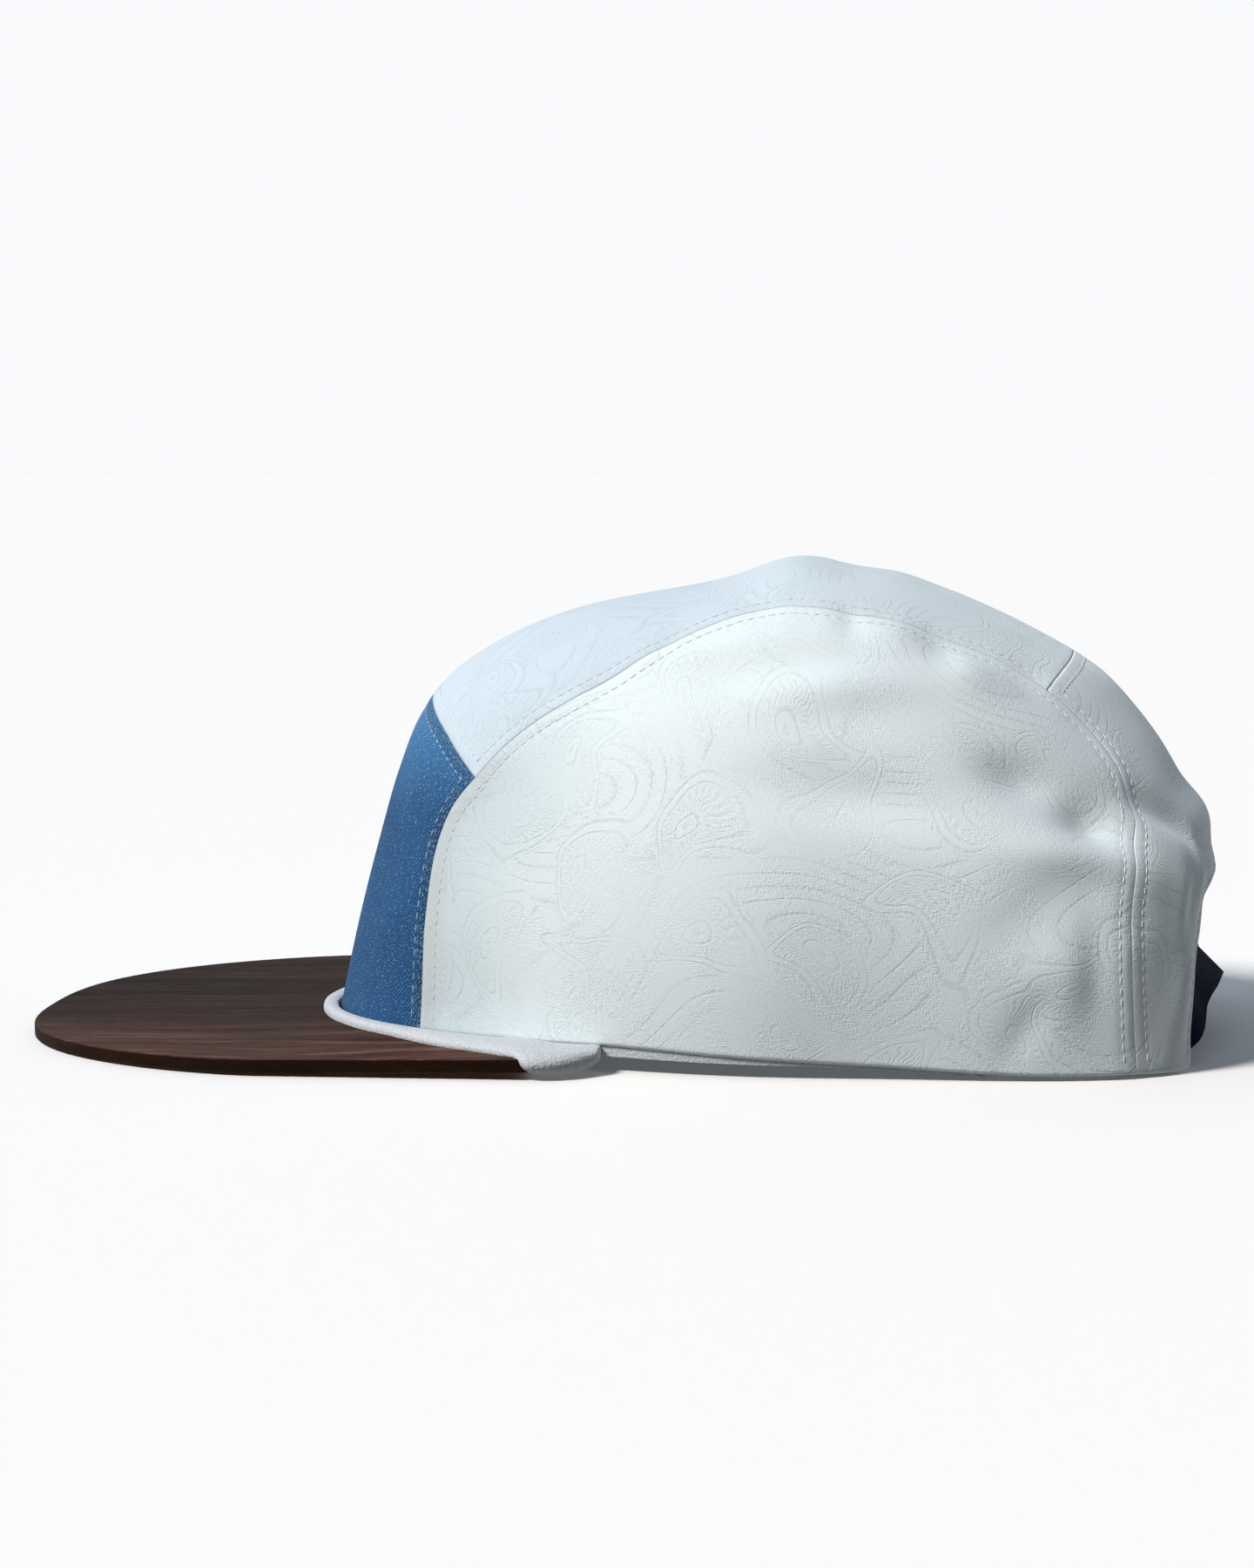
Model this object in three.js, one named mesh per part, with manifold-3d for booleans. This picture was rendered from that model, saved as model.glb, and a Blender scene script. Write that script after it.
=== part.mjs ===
import * as THREE from "three";
import Module from "manifold-3d";
import { mergeVertices } from "three/addons/utils/BufferGeometryUtils.js";

// A five-panel snapback cap with a flat wooden brim, in millimetres.
// The front points to -Y, the wearer's left side to +X, and +Z is up.
// The origin lies on the surface that the cap rests on, under the middle of its outline.

const clothThickness = 1.6;
const seamGap = 0.4; // left between neighbouring panels
const pieceGap = 0.3; // left round the other pieces
const crownMiddle = 46; // Y of the upright axis that the crown's sections are drawn round

const brim = {
  thickness: 2.9,
  side: 87, // half of its width
  tip: -136.5,
  roundFrom: -72, // Y where the straight sides turn into the rounded front
  rearCorner: -16, // Y where the side turns inwards, under the ear of the binding
  earReach: 15, // how far that rounded corner runs back
  squareAcross: 2.63,
  squareAlong: 1.57,
  pitch: 0.014, // radians, tip down
  underCrown: 5, // how far the board runs in under the crown's edge
  rearTurn: 56, // degrees round from the front, where that rear edge meets the corner
};

const binding = {
  width: 5,
  height: 1.7,
  extraWidth: 1, // by which the roll grows towards the ears
  extraHeight: 0.6,
  turn: 51, // degrees round from the front, where it runs into the ears
  steps: 34,
};

// Sections of the cloth folded round each rear corner of the brim: how far out, low and high it goes.
const earSections = [
  { y: -24, out: 70, bottom: 5.2, top: 6.5 },
  { y: -14.5, out: 87.6, bottom: 0.1, top: 6.2 },
  { y: -10, out: 88.1, bottom: 0, top: 6.4 },
  { y: -5, out: 85, bottom: 0.2, top: 6.4 },
  { y: 0, out: 80.8, bottom: 1.2, top: 6.2 },
  { y: 5, out: 77.6, bottom: 2.9, top: 5.4 },
];

const band = {
  thickness: 1.2,
  height: 27,
  gap: 0.9, // left between it and the panels
  turn: 136, // degrees round from the front, where it ends beside the rear opening
  stepsAlong: 56,
  stepsUp: 3,
};

const strap = {
  thickness: 1.2,
  halfSpan: 64, // from the middle to each root, inside a leg of the back panel
  tipLength: 10,
  layerGap: 0.35, // between the two strips
  holedEnd: -31, // across, where the outer strip ends
  peggedEnd: -22, // the same for the inner strip, counted from its own root's side
  freeFrom: 18, // how far past the middle the outer strip starts to stand off
  freeStandOff: 1.5, // of its free end
  fastenedFrom: -22, // across, where the first peg sits in the first hole
  holes: 7,
  pegs: 5,
  pitch: 8.5,
  holeRadius: 2.3,
  pegRadius: 1.8,
  pegStand: 2.2,
};

// The strap's lower edge on either side of the middle: how far back and how high it runs, and how
// many degrees the strip leans forward and how high it is there.
const strapRows = [
  { across: 0, reach: 137.2, lift: 12.8, lean: 45, height: 20.6 },
  { across: 16, reach: 135.2, lift: 12, lean: 42, height: 20.6 },
  { across: 32, reach: 132.2, lift: 10.2, lean: 33, height: 20.6 },
  { across: 48, reach: 129.6, lift: 4.6, lean: 18, height: 23.4 },
  { across: 64, reach: 119.5, lift: 0.5, lean: 8, height: 24 },
];

const arch = { halfWidth: 56, height: 41, squareness: 2.3, legReach: 128, topReach: 134, hem: 0.1 };

// Each row is a level section: how far it reaches forward and back of the origin and to each side,
// and how square its front and back halves are, where 2 is an ellipse.
const crownSections = [
  { height: 0, front: 69, back: 132.5, side: 78.5, squareFront: 2.15, squareBack: 5 },
  { height: 25, front: 63, back: 132.4, side: 79.5, squareFront: 2.15, squareBack: 4.4 },
  { height: 45, front: 57.8, back: 133, side: 78, squareFront: 2.1, squareBack: 3.4 },
  { height: 60, front: 53.6, back: 126.3, side: 74.5, squareFront: 2.05, squareBack: 2.8 },
  { height: 73, front: 48.4, back: 117.3, side: 69.5, squareFront: 2, squareBack: 2.45 },
  { height: 83, front: 40.2, back: 109, side: 63, squareFront: 2, squareBack: 2.25 },
  { height: 90.7, front: 26.7, back: 97.8, side: 56.5, squareFront: 2, squareBack: 2.1 },
  { height: 97.2, front: 9, back: 85, side: 49, squareFront: 2, squareBack: 2 },
  { height: 101.7, front: -10, back: 74, side: 39, squareFront: 2, squareBack: 2 },
  { height: 104.8, front: -28, back: 62, side: 25, squareFront: 2, squareBack: 2 },
  { height: 106.1, front: -46, back: 46, side: 0, squareFront: 2, squareBack: 2 },
];

// Each row is one long, soft dent or ridge of the cloth: its middle, its half length and half width,
// how many degrees its length leans up from level, and how far it stands out (in, if negative).
const crownFolds = [
  // crest and step of the top
  { x: 0, y: 40, z: 106, length: 12, width: 34, lean: 0, rise: 3.9 },
  { x: 0, y: 61, z: 104, length: 9, width: 30, lean: 0, rise: 1 },
  // left side, under the top seam
  { x: 57, y: 30, z: 87, length: 30, width: 6, lean: 8, rise: -1.8 },
  { x: 61, y: 48, z: 85, length: 17, width: 6, lean: 24, rise: 1.8 },
  { x: 51, y: 80, z: 86, length: 9, width: 7, lean: -30, rise: 1.8 },
  // left side, the broad hollow behind the middle
  { x: 71, y: 53, z: 68, length: 24, width: 8, lean: -12, rise: -2 },
  { x: 64, y: 79, z: 73, length: 14, width: 6, lean: 58, rise: -1.6 },
  // left side, the deep dent before the back seam and its two rims
  { x: 61, y: 100, z: 62, length: 20, width: 8, lean: -40, rise: -5.5 },
  { x: 56, y: 108, z: 66, length: 20, width: 6, lean: -50, rise: 2.2 },
  { x: 68, y: 105, z: 51, length: 15, width: 5, lean: -10, rise: 2.4 },
  // left side, the knuckle low at the back
  { x: 74, y: 99, z: 40, length: 16, width: 5, lean: 40, rise: -1.4 },
  { x: 76, y: 100, z: 23, length: 8, width: 8, lean: 0, rise: 2.4 },
  { x: 73, y: 106, z: 22, length: 11, width: 3.5, lean: 90, rise: -1.8 },
  { x: 77, y: 94, z: 12, length: 10, width: 3.5, lean: 62, rise: -1.5 },
  // back panel, left leg
  { x: 45, y: 127, z: 40, length: 10, width: 4.5, lean: 50, rise: 2.2 },
  { x: 50, y: 126, z: 35, length: 12, width: 3.5, lean: 55, rise: -2 },
  { x: 57, y: 124, z: 22, length: 22, width: 5, lean: 72, rise: 1.8 },
  // back panel, the ledge and roll over the opening
  { x: 0, y: 133, z: 51, length: 34, width: 7, lean: 0, rise: 2.6 },
  { x: 8, y: 134, z: 40, length: 26, width: 4, lean: 0, rise: 1.8 },
  { x: 46, y: 123, z: 54, length: 13, width: 5, lean: -35, rise: -2 },
  // right side
  { x: -57, y: 26, z: 87, length: 26, width: 6, lean: -10, rise: -1.6 },
  { x: -70, y: 60, z: 69, length: 26, width: 8, lean: 10, rise: -2 },
  { x: -60, y: 98, z: 64, length: 18, width: 8, lean: 35, rise: -4.5 },
  { x: -68, y: 104, z: 50, length: 15, width: 5, lean: 12, rise: 2.2 },
  { x: -75, y: 101, z: 24, length: 9, width: 8, lean: 0, rise: 2 },
  { x: -49, y: 127, z: 32, length: 13, width: 4, lean: -60, rise: -1.8 },
];

// Edges of the panels, as rough points that are laid onto the crown. The right side mirrors them.
const frontSeamRows = [
  { x: 54, y: -42.3, z: 5.2 },
  { x: 52.8, y: -41.6, z: 17 },
  { x: 50.7, y: -41.4, z: 28 },
  { x: 48.3, y: -40.9, z: 38 },
  { x: 46.3, y: -39.2, z: 47.5 },
  { x: 46.5, y: -35.5, z: 55.5 },
  { x: 48.5, y: -29.7, z: 61.8 },
];

const denimTopRows = [
  { x: 48.5, y: -29.7, z: 61.8 },
  { x: 41.4, y: -34, z: 65.9 },
  { x: 33.2, y: -37.7, z: 69.9 },
  { x: 17.5, y: -42.2, z: 74.6 },
  { x: 0, y: -43.8, z: 76.5 },
];

const topSeamRows = [
  { x: 48.5, y: -29.7, z: 61.8 },
  { x: 50.6, y: -18.2, z: 72.4 },
  { x: 52.3, y: -8.3, z: 78.3 },
  { x: 52.6, y: 1.4, z: 83.6 },
  { x: 50.6, y: 10.8, z: 89.2 },
  { x: 47.4, y: 20.1, z: 94.2 },
  { x: 44.6, y: 29.5, z: 97.8 },
  { x: 44, y: 39.1, z: 99.4 },
  { x: 44.8, y: 48.7, z: 99.1 },
  { x: 45, y: 58.3, z: 97.6 },
  { x: 44.2, y: 67.9, z: 95.2 },
  { x: 43.4, y: 77.4, z: 91.5 },
  { x: 42.6, y: 87, z: 87 },
  { x: 43.3, y: 96.6, z: 80.9 },
];

const backSeamRows = [
  { x: 43.3, y: 96.6, z: 80.9 },
  { x: 44.8, y: 106.1, z: 72.4 },
  { x: 48.8, y: 112.8, z: 64 },
  { x: 54.6, y: 116.2, z: 55.3 },
  { x: 62, y: 115.6, z: 46.6 },
  { x: 67.1, y: 114.1, z: 35.8 },
  { x: 69, y: 113.4, z: 24.7 },
  { x: 69.1, y: 113.5, z: 13.4 },
  { x: 68.6, y: 114, z: 0.9 },
];
const backSeamCorner = 3; // the row at the upper rear corner of the side panel

const crossSeamRows = [
  { x: 43.3, y: 96.6, z: 80.9 },
  { x: 22, y: 101, z: 85 },
  { x: 0, y: 102.5, z: 86.6 },
];

// The lower edge of the crown, from the middle of the front round to the back seam.
const hemRows = [
  { x: 0, y: -69, z: 4.7 },
  { x: 28, y: -63, z: 4.8 },
  { x: 54, y: -42.3, z: 5.2 },
  { x: 67, y: -20, z: 5.4 },
  { x: 75, y: 2, z: 5.6 },
  { x: 78.4, y: 19, z: 5 },
  { x: 80, y: 42, z: 3.9 },
  { x: 80, y: 64, z: 2.8 },
  { x: 77.1, y: 93.6, z: 1.1 },
  { x: 68.6, y: 114, z: 0.9 },
];
const hemRowAtFrontSeam = 2;

// How high the lower edge of the sweatband runs over each Y.
const bandEdgeRows = [
  { y: -69, z: 5.3 },
  { y: 0, z: 5.7 },
  { y: 4, z: 3.2 },
  { y: 20, z: 3 },
  { y: 45, z: 2.8 },
  { y: 66, z: 2.1 },
  { y: 134, z: 0.8 },
];

// Rough size of each panel and the steps of its grid. Panels that share a seam have equally many
// steps along it.
const panels = {
  front: { along: 130, up: 75, stepsAlong: 12, stepsUp: 10 },
  side: { along: 190, up: 80, stepsAlong: 32, stepsUp: 10 },
  top: { along: 95, up: 165, stepsAlong: 12, stepsUp: 26 },
  back: { along: 230, up: 40, stepsAlong: 44, stepsUp: 6 },
};
const backSeamSteps = 16; // of the back panel's, along each of its two side seams

const radians = THREE.MathUtils.degToRad;
const lerp = THREE.MathUtils.lerp;

// Value of a table's column between two rows, as a smooth Catmull-Rom curve.
function smoothColumn(rows, column, place) {
  const last = rows.length - 1;
  const index = Math.min(Math.floor(place), last - 1);
  const t = place - index;
  const b = rows[index][column];
  const c = rows[index + 1][column];
  const a = index > 0 ? rows[index - 1][column] : 2 * b - c;
  const d = index < last - 1 ? rows[index + 2][column] : 2 * c - b;
  const linear = c - a;
  const square = 2 * a - 5 * b + 4 * c - d;
  const cube = 3 * b - a - 3 * c + d;
  return b + 0.5 * (linear * t + square * t * t + cube * t * t * t);
}

// Radius and height of the crown towards one azimuth, where level counts rows of crownSections.
function crownProfile(cosine, sine, level) {
  const column = (name) => smoothColumn(crownSections, name, level);
  const forward = cosine > 0;
  const reach = forward ? column("front") + crownMiddle : column("back") - crownMiddle;
  const squareness = column(forward ? "squareFront" : "squareBack");
  const along = Math.abs(cosine) / Math.max(reach, 0.01);
  const across = Math.abs(sine) / Math.max(column("side"), 0.01);
  const radius = (along ** squareness + across ** squareness) ** (-1 / squareness);
  return { radius, height: column("height") };
}

// The point of the smooth crown that lies in the same direction from its base as a rough point.
function ontoCrown(rough) {
  const away = Math.hypot(rough.x, rough.y - crownMiddle);
  const sine = away > 0 ? rough.x / away : 0;
  const cosine = away > 0 ? (crownMiddle - rough.y) / away : 1;
  let low = 0;
  let high = crownSections.length - 1;
  for (let step = 0; step < 32; step += 1) {
    const middle = (low + high) / 2;
    const { radius, height } = crownProfile(cosine, sine, middle);
    if (height * away < rough.z * radius) low = middle;
    else high = middle;
  }
  const { radius, height } = crownProfile(cosine, sine, low);
  return new THREE.Vector3(radius * sine, crownMiddle - radius * cosine, height);
}

// The direction that the smooth crown faces at one of its points.
function crownFacing(point) {
  const hub = new THREE.Vector3(0, crownMiddle, 0);
  const outwards = point.clone().sub(hub).normalize();
  const level = new THREE.Vector3(-outwards.y, outwards.x, 0);
  if (level.length() < 0.01) level.set(1, 0, 0);
  level.normalize();
  const upright = outwards.clone().cross(level);
  const nudge = 0.5;
  const beside = ontoCrown(point.clone().addScaledVector(level, nudge)).sub(point);
  const above = ontoCrown(point.clone().addScaledVector(upright, -nudge)).sub(point);
  const facing = above.cross(beside).normalize();
  return facing.dot(outwards) < 0 ? facing.negate() : facing;
}

// Frames of the folds: each middle laid onto the crown, with its long, short and outward directions.
const foldFrames = crownFolds.map((fold) => {
  const steepest = 0.3; // below this a fold on the crest runs front to back
  const middle = ontoCrown(fold);
  const outward = crownFacing(middle);
  const level = new THREE.Vector3(-outward.y, outward.x, 0);
  if (Math.hypot(outward.x, outward.y) < steepest) level.set(0, 1, 0);
  level.normalize();
  const upward = outward.clone().cross(level);
  const lean = radians(fold.lean);
  const long = level.clone().multiplyScalar(Math.cos(lean)).addScaledVector(upward, Math.sin(lean));
  return { ...fold, middle, outward, long, short: outward.clone().cross(long) };
});

// How far the folds lift the cloth at a point of the smooth crown.
function foldRise(point) {
  const foldReach = 30; // keeps a fold on its own side of the crown
  return foldFrames.reduce((sum, fold) => {
    const offset = point.clone().sub(fold.middle);
    const along = offset.dot(fold.long) / fold.length;
    const across = offset.dot(fold.short) / fold.width;
    const through = offset.dot(fold.outward) / foldReach;
    return sum + fold.rise * Math.exp(-along * along - across * across - through * through);
  }, 0);
}

// The folded cloth's point over a rough one, some depth under its outer face.
function clothPoint(rough, depth) {
  const point = ontoCrown(rough);
  return point.addScaledVector(crownFacing(point), foldRise(point) - depth);
}

const asPoint = (row) => new THREE.Vector3(row.x, row.y, row.z);
const mirrored = (row) => new THREE.Vector3(-row.x, row.y, row.z);

// A smooth edge through some rows of a table, run from 0 to 1 between two of them.
function edgeThrough(rows, first = 0, last = rows.length - 1) {
  const curve = new THREE.CatmullRomCurve3(rows.map(asPoint));
  const span = rows.length - 1;
  return (t) => curve.getPoint(lerp(first, last, t) / span);
}

// A rough point inside a patch that four edges bound: lower and upper run along, near and far up.
function patchPoint(edges, s, t) {
  const corner = (edge, end, weight) => edge(end).multiplyScalar(weight);
  const point = edges.lower(s).multiplyScalar(1 - t);
  point.add(edges.upper(s).multiplyScalar(t));
  point.add(edges.near(t).multiplyScalar(1 - s));
  point.add(edges.far(t).multiplyScalar(s));
  point.sub(corner(edges.lower, 0, (1 - s) * (1 - t)));
  point.sub(corner(edges.lower, 1, s * (1 - t)));
  point.sub(corner(edges.upper, 0, (1 - s) * t));
  return point.sub(corner(edges.upper, 1, s * t));
}

// A closed geometry from points and four-sided or longer faces, turned so that its faces point out.
function closedGeometry(points, faces) {
  const triangles = [];
  for (const face of faces) {
    for (let k = 1; k < face.length - 1; k += 1) triangles.push([face[0], face[k], face[k + 1]]);
  }
  const volume = triangles.reduce((sum, [a, b, c]) => {
    return sum + points[a].dot(points[b].clone().cross(points[c]));
  }, 0);
  if (volume < 0) triangles.forEach((triangle) => triangle.reverse());
  const geometry = new THREE.BufferGeometry().setFromPoints(points);
  geometry.setIndex(triangles.flat());
  geometry.computeVertexNormals();
  return geometry;
}

// A wall with an outer and an inner face: pointAt(s, t, depth) gives its points, s and t from 0 to 1.
function wallGeometry(pointAt, stepsAlong, stepsUp, depths = [0, clothThickness]) {
  const points = [];
  for (const depth of depths) {
    for (let i = 0; i <= stepsAlong; i += 1) {
      for (let j = 0; j <= stepsUp; j += 1) points.push(pointAt(i / stepsAlong, j / stepsUp, depth));
    }
  }
  const layer = (stepsAlong + 1) * (stepsUp + 1);
  const at = (i, j) => i * (stepsUp + 1) + j;
  const faces = [];
  for (let i = 0; i < stepsAlong; i += 1) {
    for (let j = 0; j < stepsUp; j += 1) {
      const around = [at(i, j), at(i + 1, j), at(i + 1, j + 1), at(i, j + 1)];
      faces.push(around, around.map((k) => k + layer).reverse());
    }
  }
  const rim = [];
  for (let i = 0; i < stepsAlong; i += 1) rim.push(at(i, 0));
  for (let j = 0; j < stepsUp; j += 1) rim.push(at(stepsAlong, j));
  for (let i = stepsAlong; i > 0; i -= 1) rim.push(at(i, stepsUp));
  for (let j = stepsUp; j > 0; j -= 1) rim.push(at(0, j));
  rim.forEach((here, k) => {
    const next = rim[(k + 1) % rim.length];
    faces.push([next, here, here + layer, next + layer]);
  });
  return closedGeometry(points, faces);
}

// A body through rings of equally many points, closed with a flat cap at each end.
function ringGeometry(rings) {
  const count = rings[0].length;
  const faces = [rings[0].map((_, k) => k).reverse()];
  for (let r = 0; r < rings.length - 1; r += 1) {
    for (let k = 0; k < count; k += 1) {
      const next = (k + 1) % count;
      const base = r * count;
      faces.push([base + k, base + next, base + count + next, base + count + k]);
    }
  }
  faces.push(rings[0].map((_, k) => (rings.length - 1) * count + k));
  return closedGeometry(rings.flat(), faces);
}

// A panel of the crown inside four edges, held back from them by half a seam gap.
function panelGeometry(edges, { along, up, stepsAlong, stepsUp }) {
  const inset = (value, size) => {
    const margin = seamGap / 2 / size;
    return lerp(margin, 1 - margin, value);
  };
  const pointAt = (s, t, depth) =>
    clothPoint(patchPoint(edges, inset(s, along), inset(t, up)), depth);
  return wallGeometry(pointAt, stepsAlong, stepsUp);
}

const mirrorEdge = (edge) => (t) => mirrored(edge(t));
const mirrorEdges = ({ lower, upper, near, far }) => ({
  lower: mirrorEdge(lower),
  upper: mirrorEdge(upper),
  near: mirrorEdge(near),
  far: mirrorEdge(far),
});

// One edge that crosses the middle: a left edge's mirror image, then the left edge itself.
const acrossMiddle = (edge) => (t) => (t < 0.5 ? mirrored(edge(1 - 2 * t)) : edge(2 * t - 1));

function sidePanelEdges() {
  return {
    lower: edgeThrough(hemRows, hemRowAtFrontSeam),
    upper: edgeThrough([...topSeamRows.slice(0, -1), ...backSeamRows.slice(0, backSeamCorner + 1)]),
    near: edgeThrough(frontSeamRows),
    far: (t) => edgeThrough(backSeamRows, backSeamCorner)(1 - t),
  };
}

function frontPanelEdges() {
  const seam = edgeThrough(frontSeamRows);
  const top = edgeThrough([...denimTopRows].reverse());
  return {
    lower: acrossMiddle(edgeThrough(hemRows, 0, hemRowAtFrontSeam)),
    upper: acrossMiddle(top),
    near: mirrorEdge(seam),
    far: seam,
  };
}

function topPanelEdges() {
  const seam = edgeThrough(topSeamRows);
  return {
    lower: acrossMiddle(edgeThrough([...denimTopRows].reverse())),
    upper: acrossMiddle(edgeThrough([...crossSeamRows].reverse())),
    near: mirrorEdge(seam),
    far: seam,
  };
}

// The edge of the rear opening, from the left leg's hem over to the right one's.
function archPoint(t) {
  const turn = Math.PI * t;
  const power = 2 / arch.squareness;
  const across = arch.halfWidth * Math.sign(Math.cos(turn)) * Math.abs(Math.cos(turn)) ** power;
  const up = arch.height * Math.sin(turn) ** power;
  const reach = lerp(arch.legReach, arch.topReach, Math.sin(turn));
  return new THREE.Vector3(across, reach, Math.max(up, arch.hem));
}

// The back panel's outer edge: up the left seam, across under the top panel and down the right seam.
function backOuterPoint(t) {
  const seam = edgeThrough(backSeamRows);
  const cross = edgeThrough(crossSeamRows);
  const share = backSeamSteps / panels.back.stepsAlong;
  if (t < share) return seam(1 - t / share);
  if (t > 1 - share) return mirrored(seam((t - 1 + share) / share));
  const middle = (t - share) / (1 - 2 * share);
  return middle < 0.5 ? cross(2 * middle) : mirrored(cross(2 - 2 * middle));
}

function backPanelEdges() {
  const leg = (t) => archPoint(0).lerp(backOuterPoint(0), t);
  return {
    lower: archPoint,
    upper: backOuterPoint,
    near: leg,
    far: mirrorEdge(leg),
  };
}

// Height of the brim's underside over a Y: it is pitched about a level line under the tip.
const brimUnderside = (y) => (y - brim.tip) * Math.tan(brim.pitch);

// The crown's point low down at one turn round from the front, in radians.
function crownFoot(turn) {
  const reach = 90; // any distance outside the crown will do
  const height = 3;
  const forward = crownMiddle - reach * Math.cos(turn);
  return ontoCrown(new THREE.Vector3(reach * Math.sin(turn), forward, height));
}

// The same point moved level outwards by some distance.
function hemOffsetPoint(turn, distance) {
  const point = crownFoot(turn);
  return point.addScaledVector(crownFacing(point).setZ(0).normalize(), distance);
}

// The brim's plan, widened all round by some distance.
function brimOutline(extra = 0) {
  const right = [];
  const frontSteps = 14;
  const cornerSteps = 6;
  const rearSteps = 12;
  const side = brim.side + extra;
  const length = brim.roundFrom - brim.tip + extra;
  for (let k = 0; k <= frontSteps; k += 1) {
    const turn = (Math.PI / 2) * (1 - k / frontSteps);
    const across = side * Math.cos(turn) ** (2 / brim.squareAcross);
    const along = length * Math.sin(turn) ** (2 / brim.squareAlong);
    right.push(new THREE.Vector2(across, brim.roundFrom - along));
  }
  for (let k = 0; k <= cornerSteps; k += 1) {
    const turn = (Math.PI / 2) * (k / cornerSteps);
    const reach = brim.earReach + extra;
    const across = side - reach * (1 - Math.cos(turn));
    right.push(new THREE.Vector2(across, brim.rearCorner + reach * Math.sin(turn)));
  }
  for (let k = 0; k <= rearSteps; k += 1) {
    const turn = radians(lerp(brim.rearTurn, 0, k / rearSteps));
    const point = hemOffsetPoint(turn, -brim.underCrown);
    right.push(new THREE.Vector2(point.x, point.y + extra));
  }
  const left = right.slice(1, -1).map((p) => new THREE.Vector2(-p.x, p.y));
  return [...right, ...left.reverse()];
}

// The brim's board, thickened by some distance on every face.
function brimGeometry(extra = 0) {
  const geometry = new THREE.ExtrudeGeometry(new THREE.Shape(brimOutline(extra)), {
    depth: brim.thickness + 2 * extra,
    bevelEnabled: false,
  });
  geometry.translate(0, -brim.tip, -extra);
  geometry.rotateX(brim.pitch);
  return geometry.translate(0, brim.tip, 0);
}

const wasm = await Module();
wasm.setup();

// A closed geometry as a solid that can be joined and cut.
function solidFrom(geometry) {
  const bare = geometry.clone();
  bare.deleteAttribute("normal");
  bare.deleteAttribute("uv");
  const merged = mergeVertices(bare, 1e-4);
  const vertProperties = merged.attributes.position.array;
  const triVerts = new Uint32Array(merged.index.array);
  return new wasm.Manifold(new wasm.Mesh({ numProp: 3, vertProperties, triVerts }));
}

function geometryFrom(solid) {
  const mesh = solid.getMesh();
  const geometry = new THREE.BufferGeometry();
  geometry.setAttribute("position", new THREE.Float32BufferAttribute(mesh.vertProperties, 3));
  geometry.setIndex(Array.from(mesh.triVerts));
  geometry.computeVertexNormals();
  return geometry;
}

// A rounded section standing on its lower side, in the plane of two directions.
function roundedRing(foot, outward, width, height, sides = 8) {
  return Array.from({ length: sides }, (_, k) => {
    const turn = (2 * Math.PI * (k + 0.5)) / sides;
    const across = (0.5 + 0.54 * Math.cos(turn)) * width;
    const up = (0.5 + 0.54 * Math.sin(turn)) * height;
    return foot.clone().addScaledVector(outward, across).setZ(foot.z + up);
  });
}

// The roll of cloth that lies on the brim along the foot of the crown.
function bindingRoll() {
  const rings = [];
  for (let k = 0; k <= binding.steps; k += 1) {
    const share = lerp(-1, 1, k / binding.steps);
    const foot = hemOffsetPoint(share * radians(binding.turn), seamGap);
    const outward = crownFacing(foot).setZ(0).normalize();
    const swell = Math.abs(share) ** 3;
    const width = binding.width + swell * binding.extraWidth;
    const height = binding.height + swell * binding.extraHeight;
    foot.z = brimUnderside(foot.y) + brim.thickness + seamGap;
    rings.push(roundedRing(foot, outward, width, height));
  }
  return ringGeometry(rings);
}

// The cloth folded round one rear corner of the brim, as level-standing sections from front to back.
function bindingEar(side) {
  const sides = 12;
  const roundness = 0.5; // 1 is an ellipse and 0 a rectangle
  const inner = 62; // inside the crown's wall, where the body is cut off
  const rings = earSections.map((row) => {
    const halfWidth = (row.out - inner) / 2;
    const halfHeight = (row.top - row.bottom) / 2;
    return Array.from({ length: sides }, (_, k) => {
      const turn = (2 * Math.PI * (k + 0.5)) / sides;
      const soften = (value) => Math.sign(value) * Math.abs(value) ** roundness;
      const across = inner + halfWidth * (1 + soften(Math.cos(turn)));
      const up = row.bottom + halfHeight * (1 + soften(Math.sin(turn)));
      return new THREE.Vector3(side * across, row.y, up);
    });
  });
  return ringGeometry(rings);
}

// The roll and both ears as one body, cut clear of the brim and of the crown's wall.
function bindingGeometry() {
  const board = solidFrom(brimGeometry(pieceGap));
  const sides = 48;
  const [below, above] = [-2, 40];
  const keepOutRings = [below, above].map((height) =>
    Array.from({ length: sides }, (_, k) => {
      return hemOffsetPoint((2 * Math.PI * k) / sides, pieceGap).setZ(height);
    }),
  );
  const crownInside = solidFrom(ringGeometry(keepOutRings));
  let body = solidFrom(bindingRoll());
  for (const side of [-1, 1]) body = body.add(solidFrom(bindingEar(side)));
  return geometryFrom(body.subtract(board).subtract(crownInside));
}

// The band inside the crown's lower edge, from one side of the rear opening round to the other.
function sweatbandGeometry() {
  const edgeHeight = (y) => {
    const next = Math.max(1, bandEdgeRows.findIndex((row) => row.y >= y));
    const [a, b] = [bandEdgeRows[next - 1], bandEdgeRows[next]];
    return THREE.MathUtils.mapLinear(THREE.MathUtils.clamp(y, a.y, b.y), a.y, b.y, a.z, b.z);
  };
  const clearOfPanels = clothThickness + band.gap;
  const pointAt = (s, t, depth) => {
    const foot = crownFoot(radians(lerp(-band.turn, band.turn, s)));
    foot.z = lerp(edgeHeight(foot.y), band.height, t);
    return clothPoint(foot, clearOfPanels + depth);
  };
  return wallGeometry(pointAt, band.stepsAlong, band.stepsUp, [0, band.thickness]);
}

// One column of the strap's table, some way across the opening.
function strapColumn(name, across) {
  return smoothColumn(strapRows, name, Math.abs(across) / strapRows[1].across);
}

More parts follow.
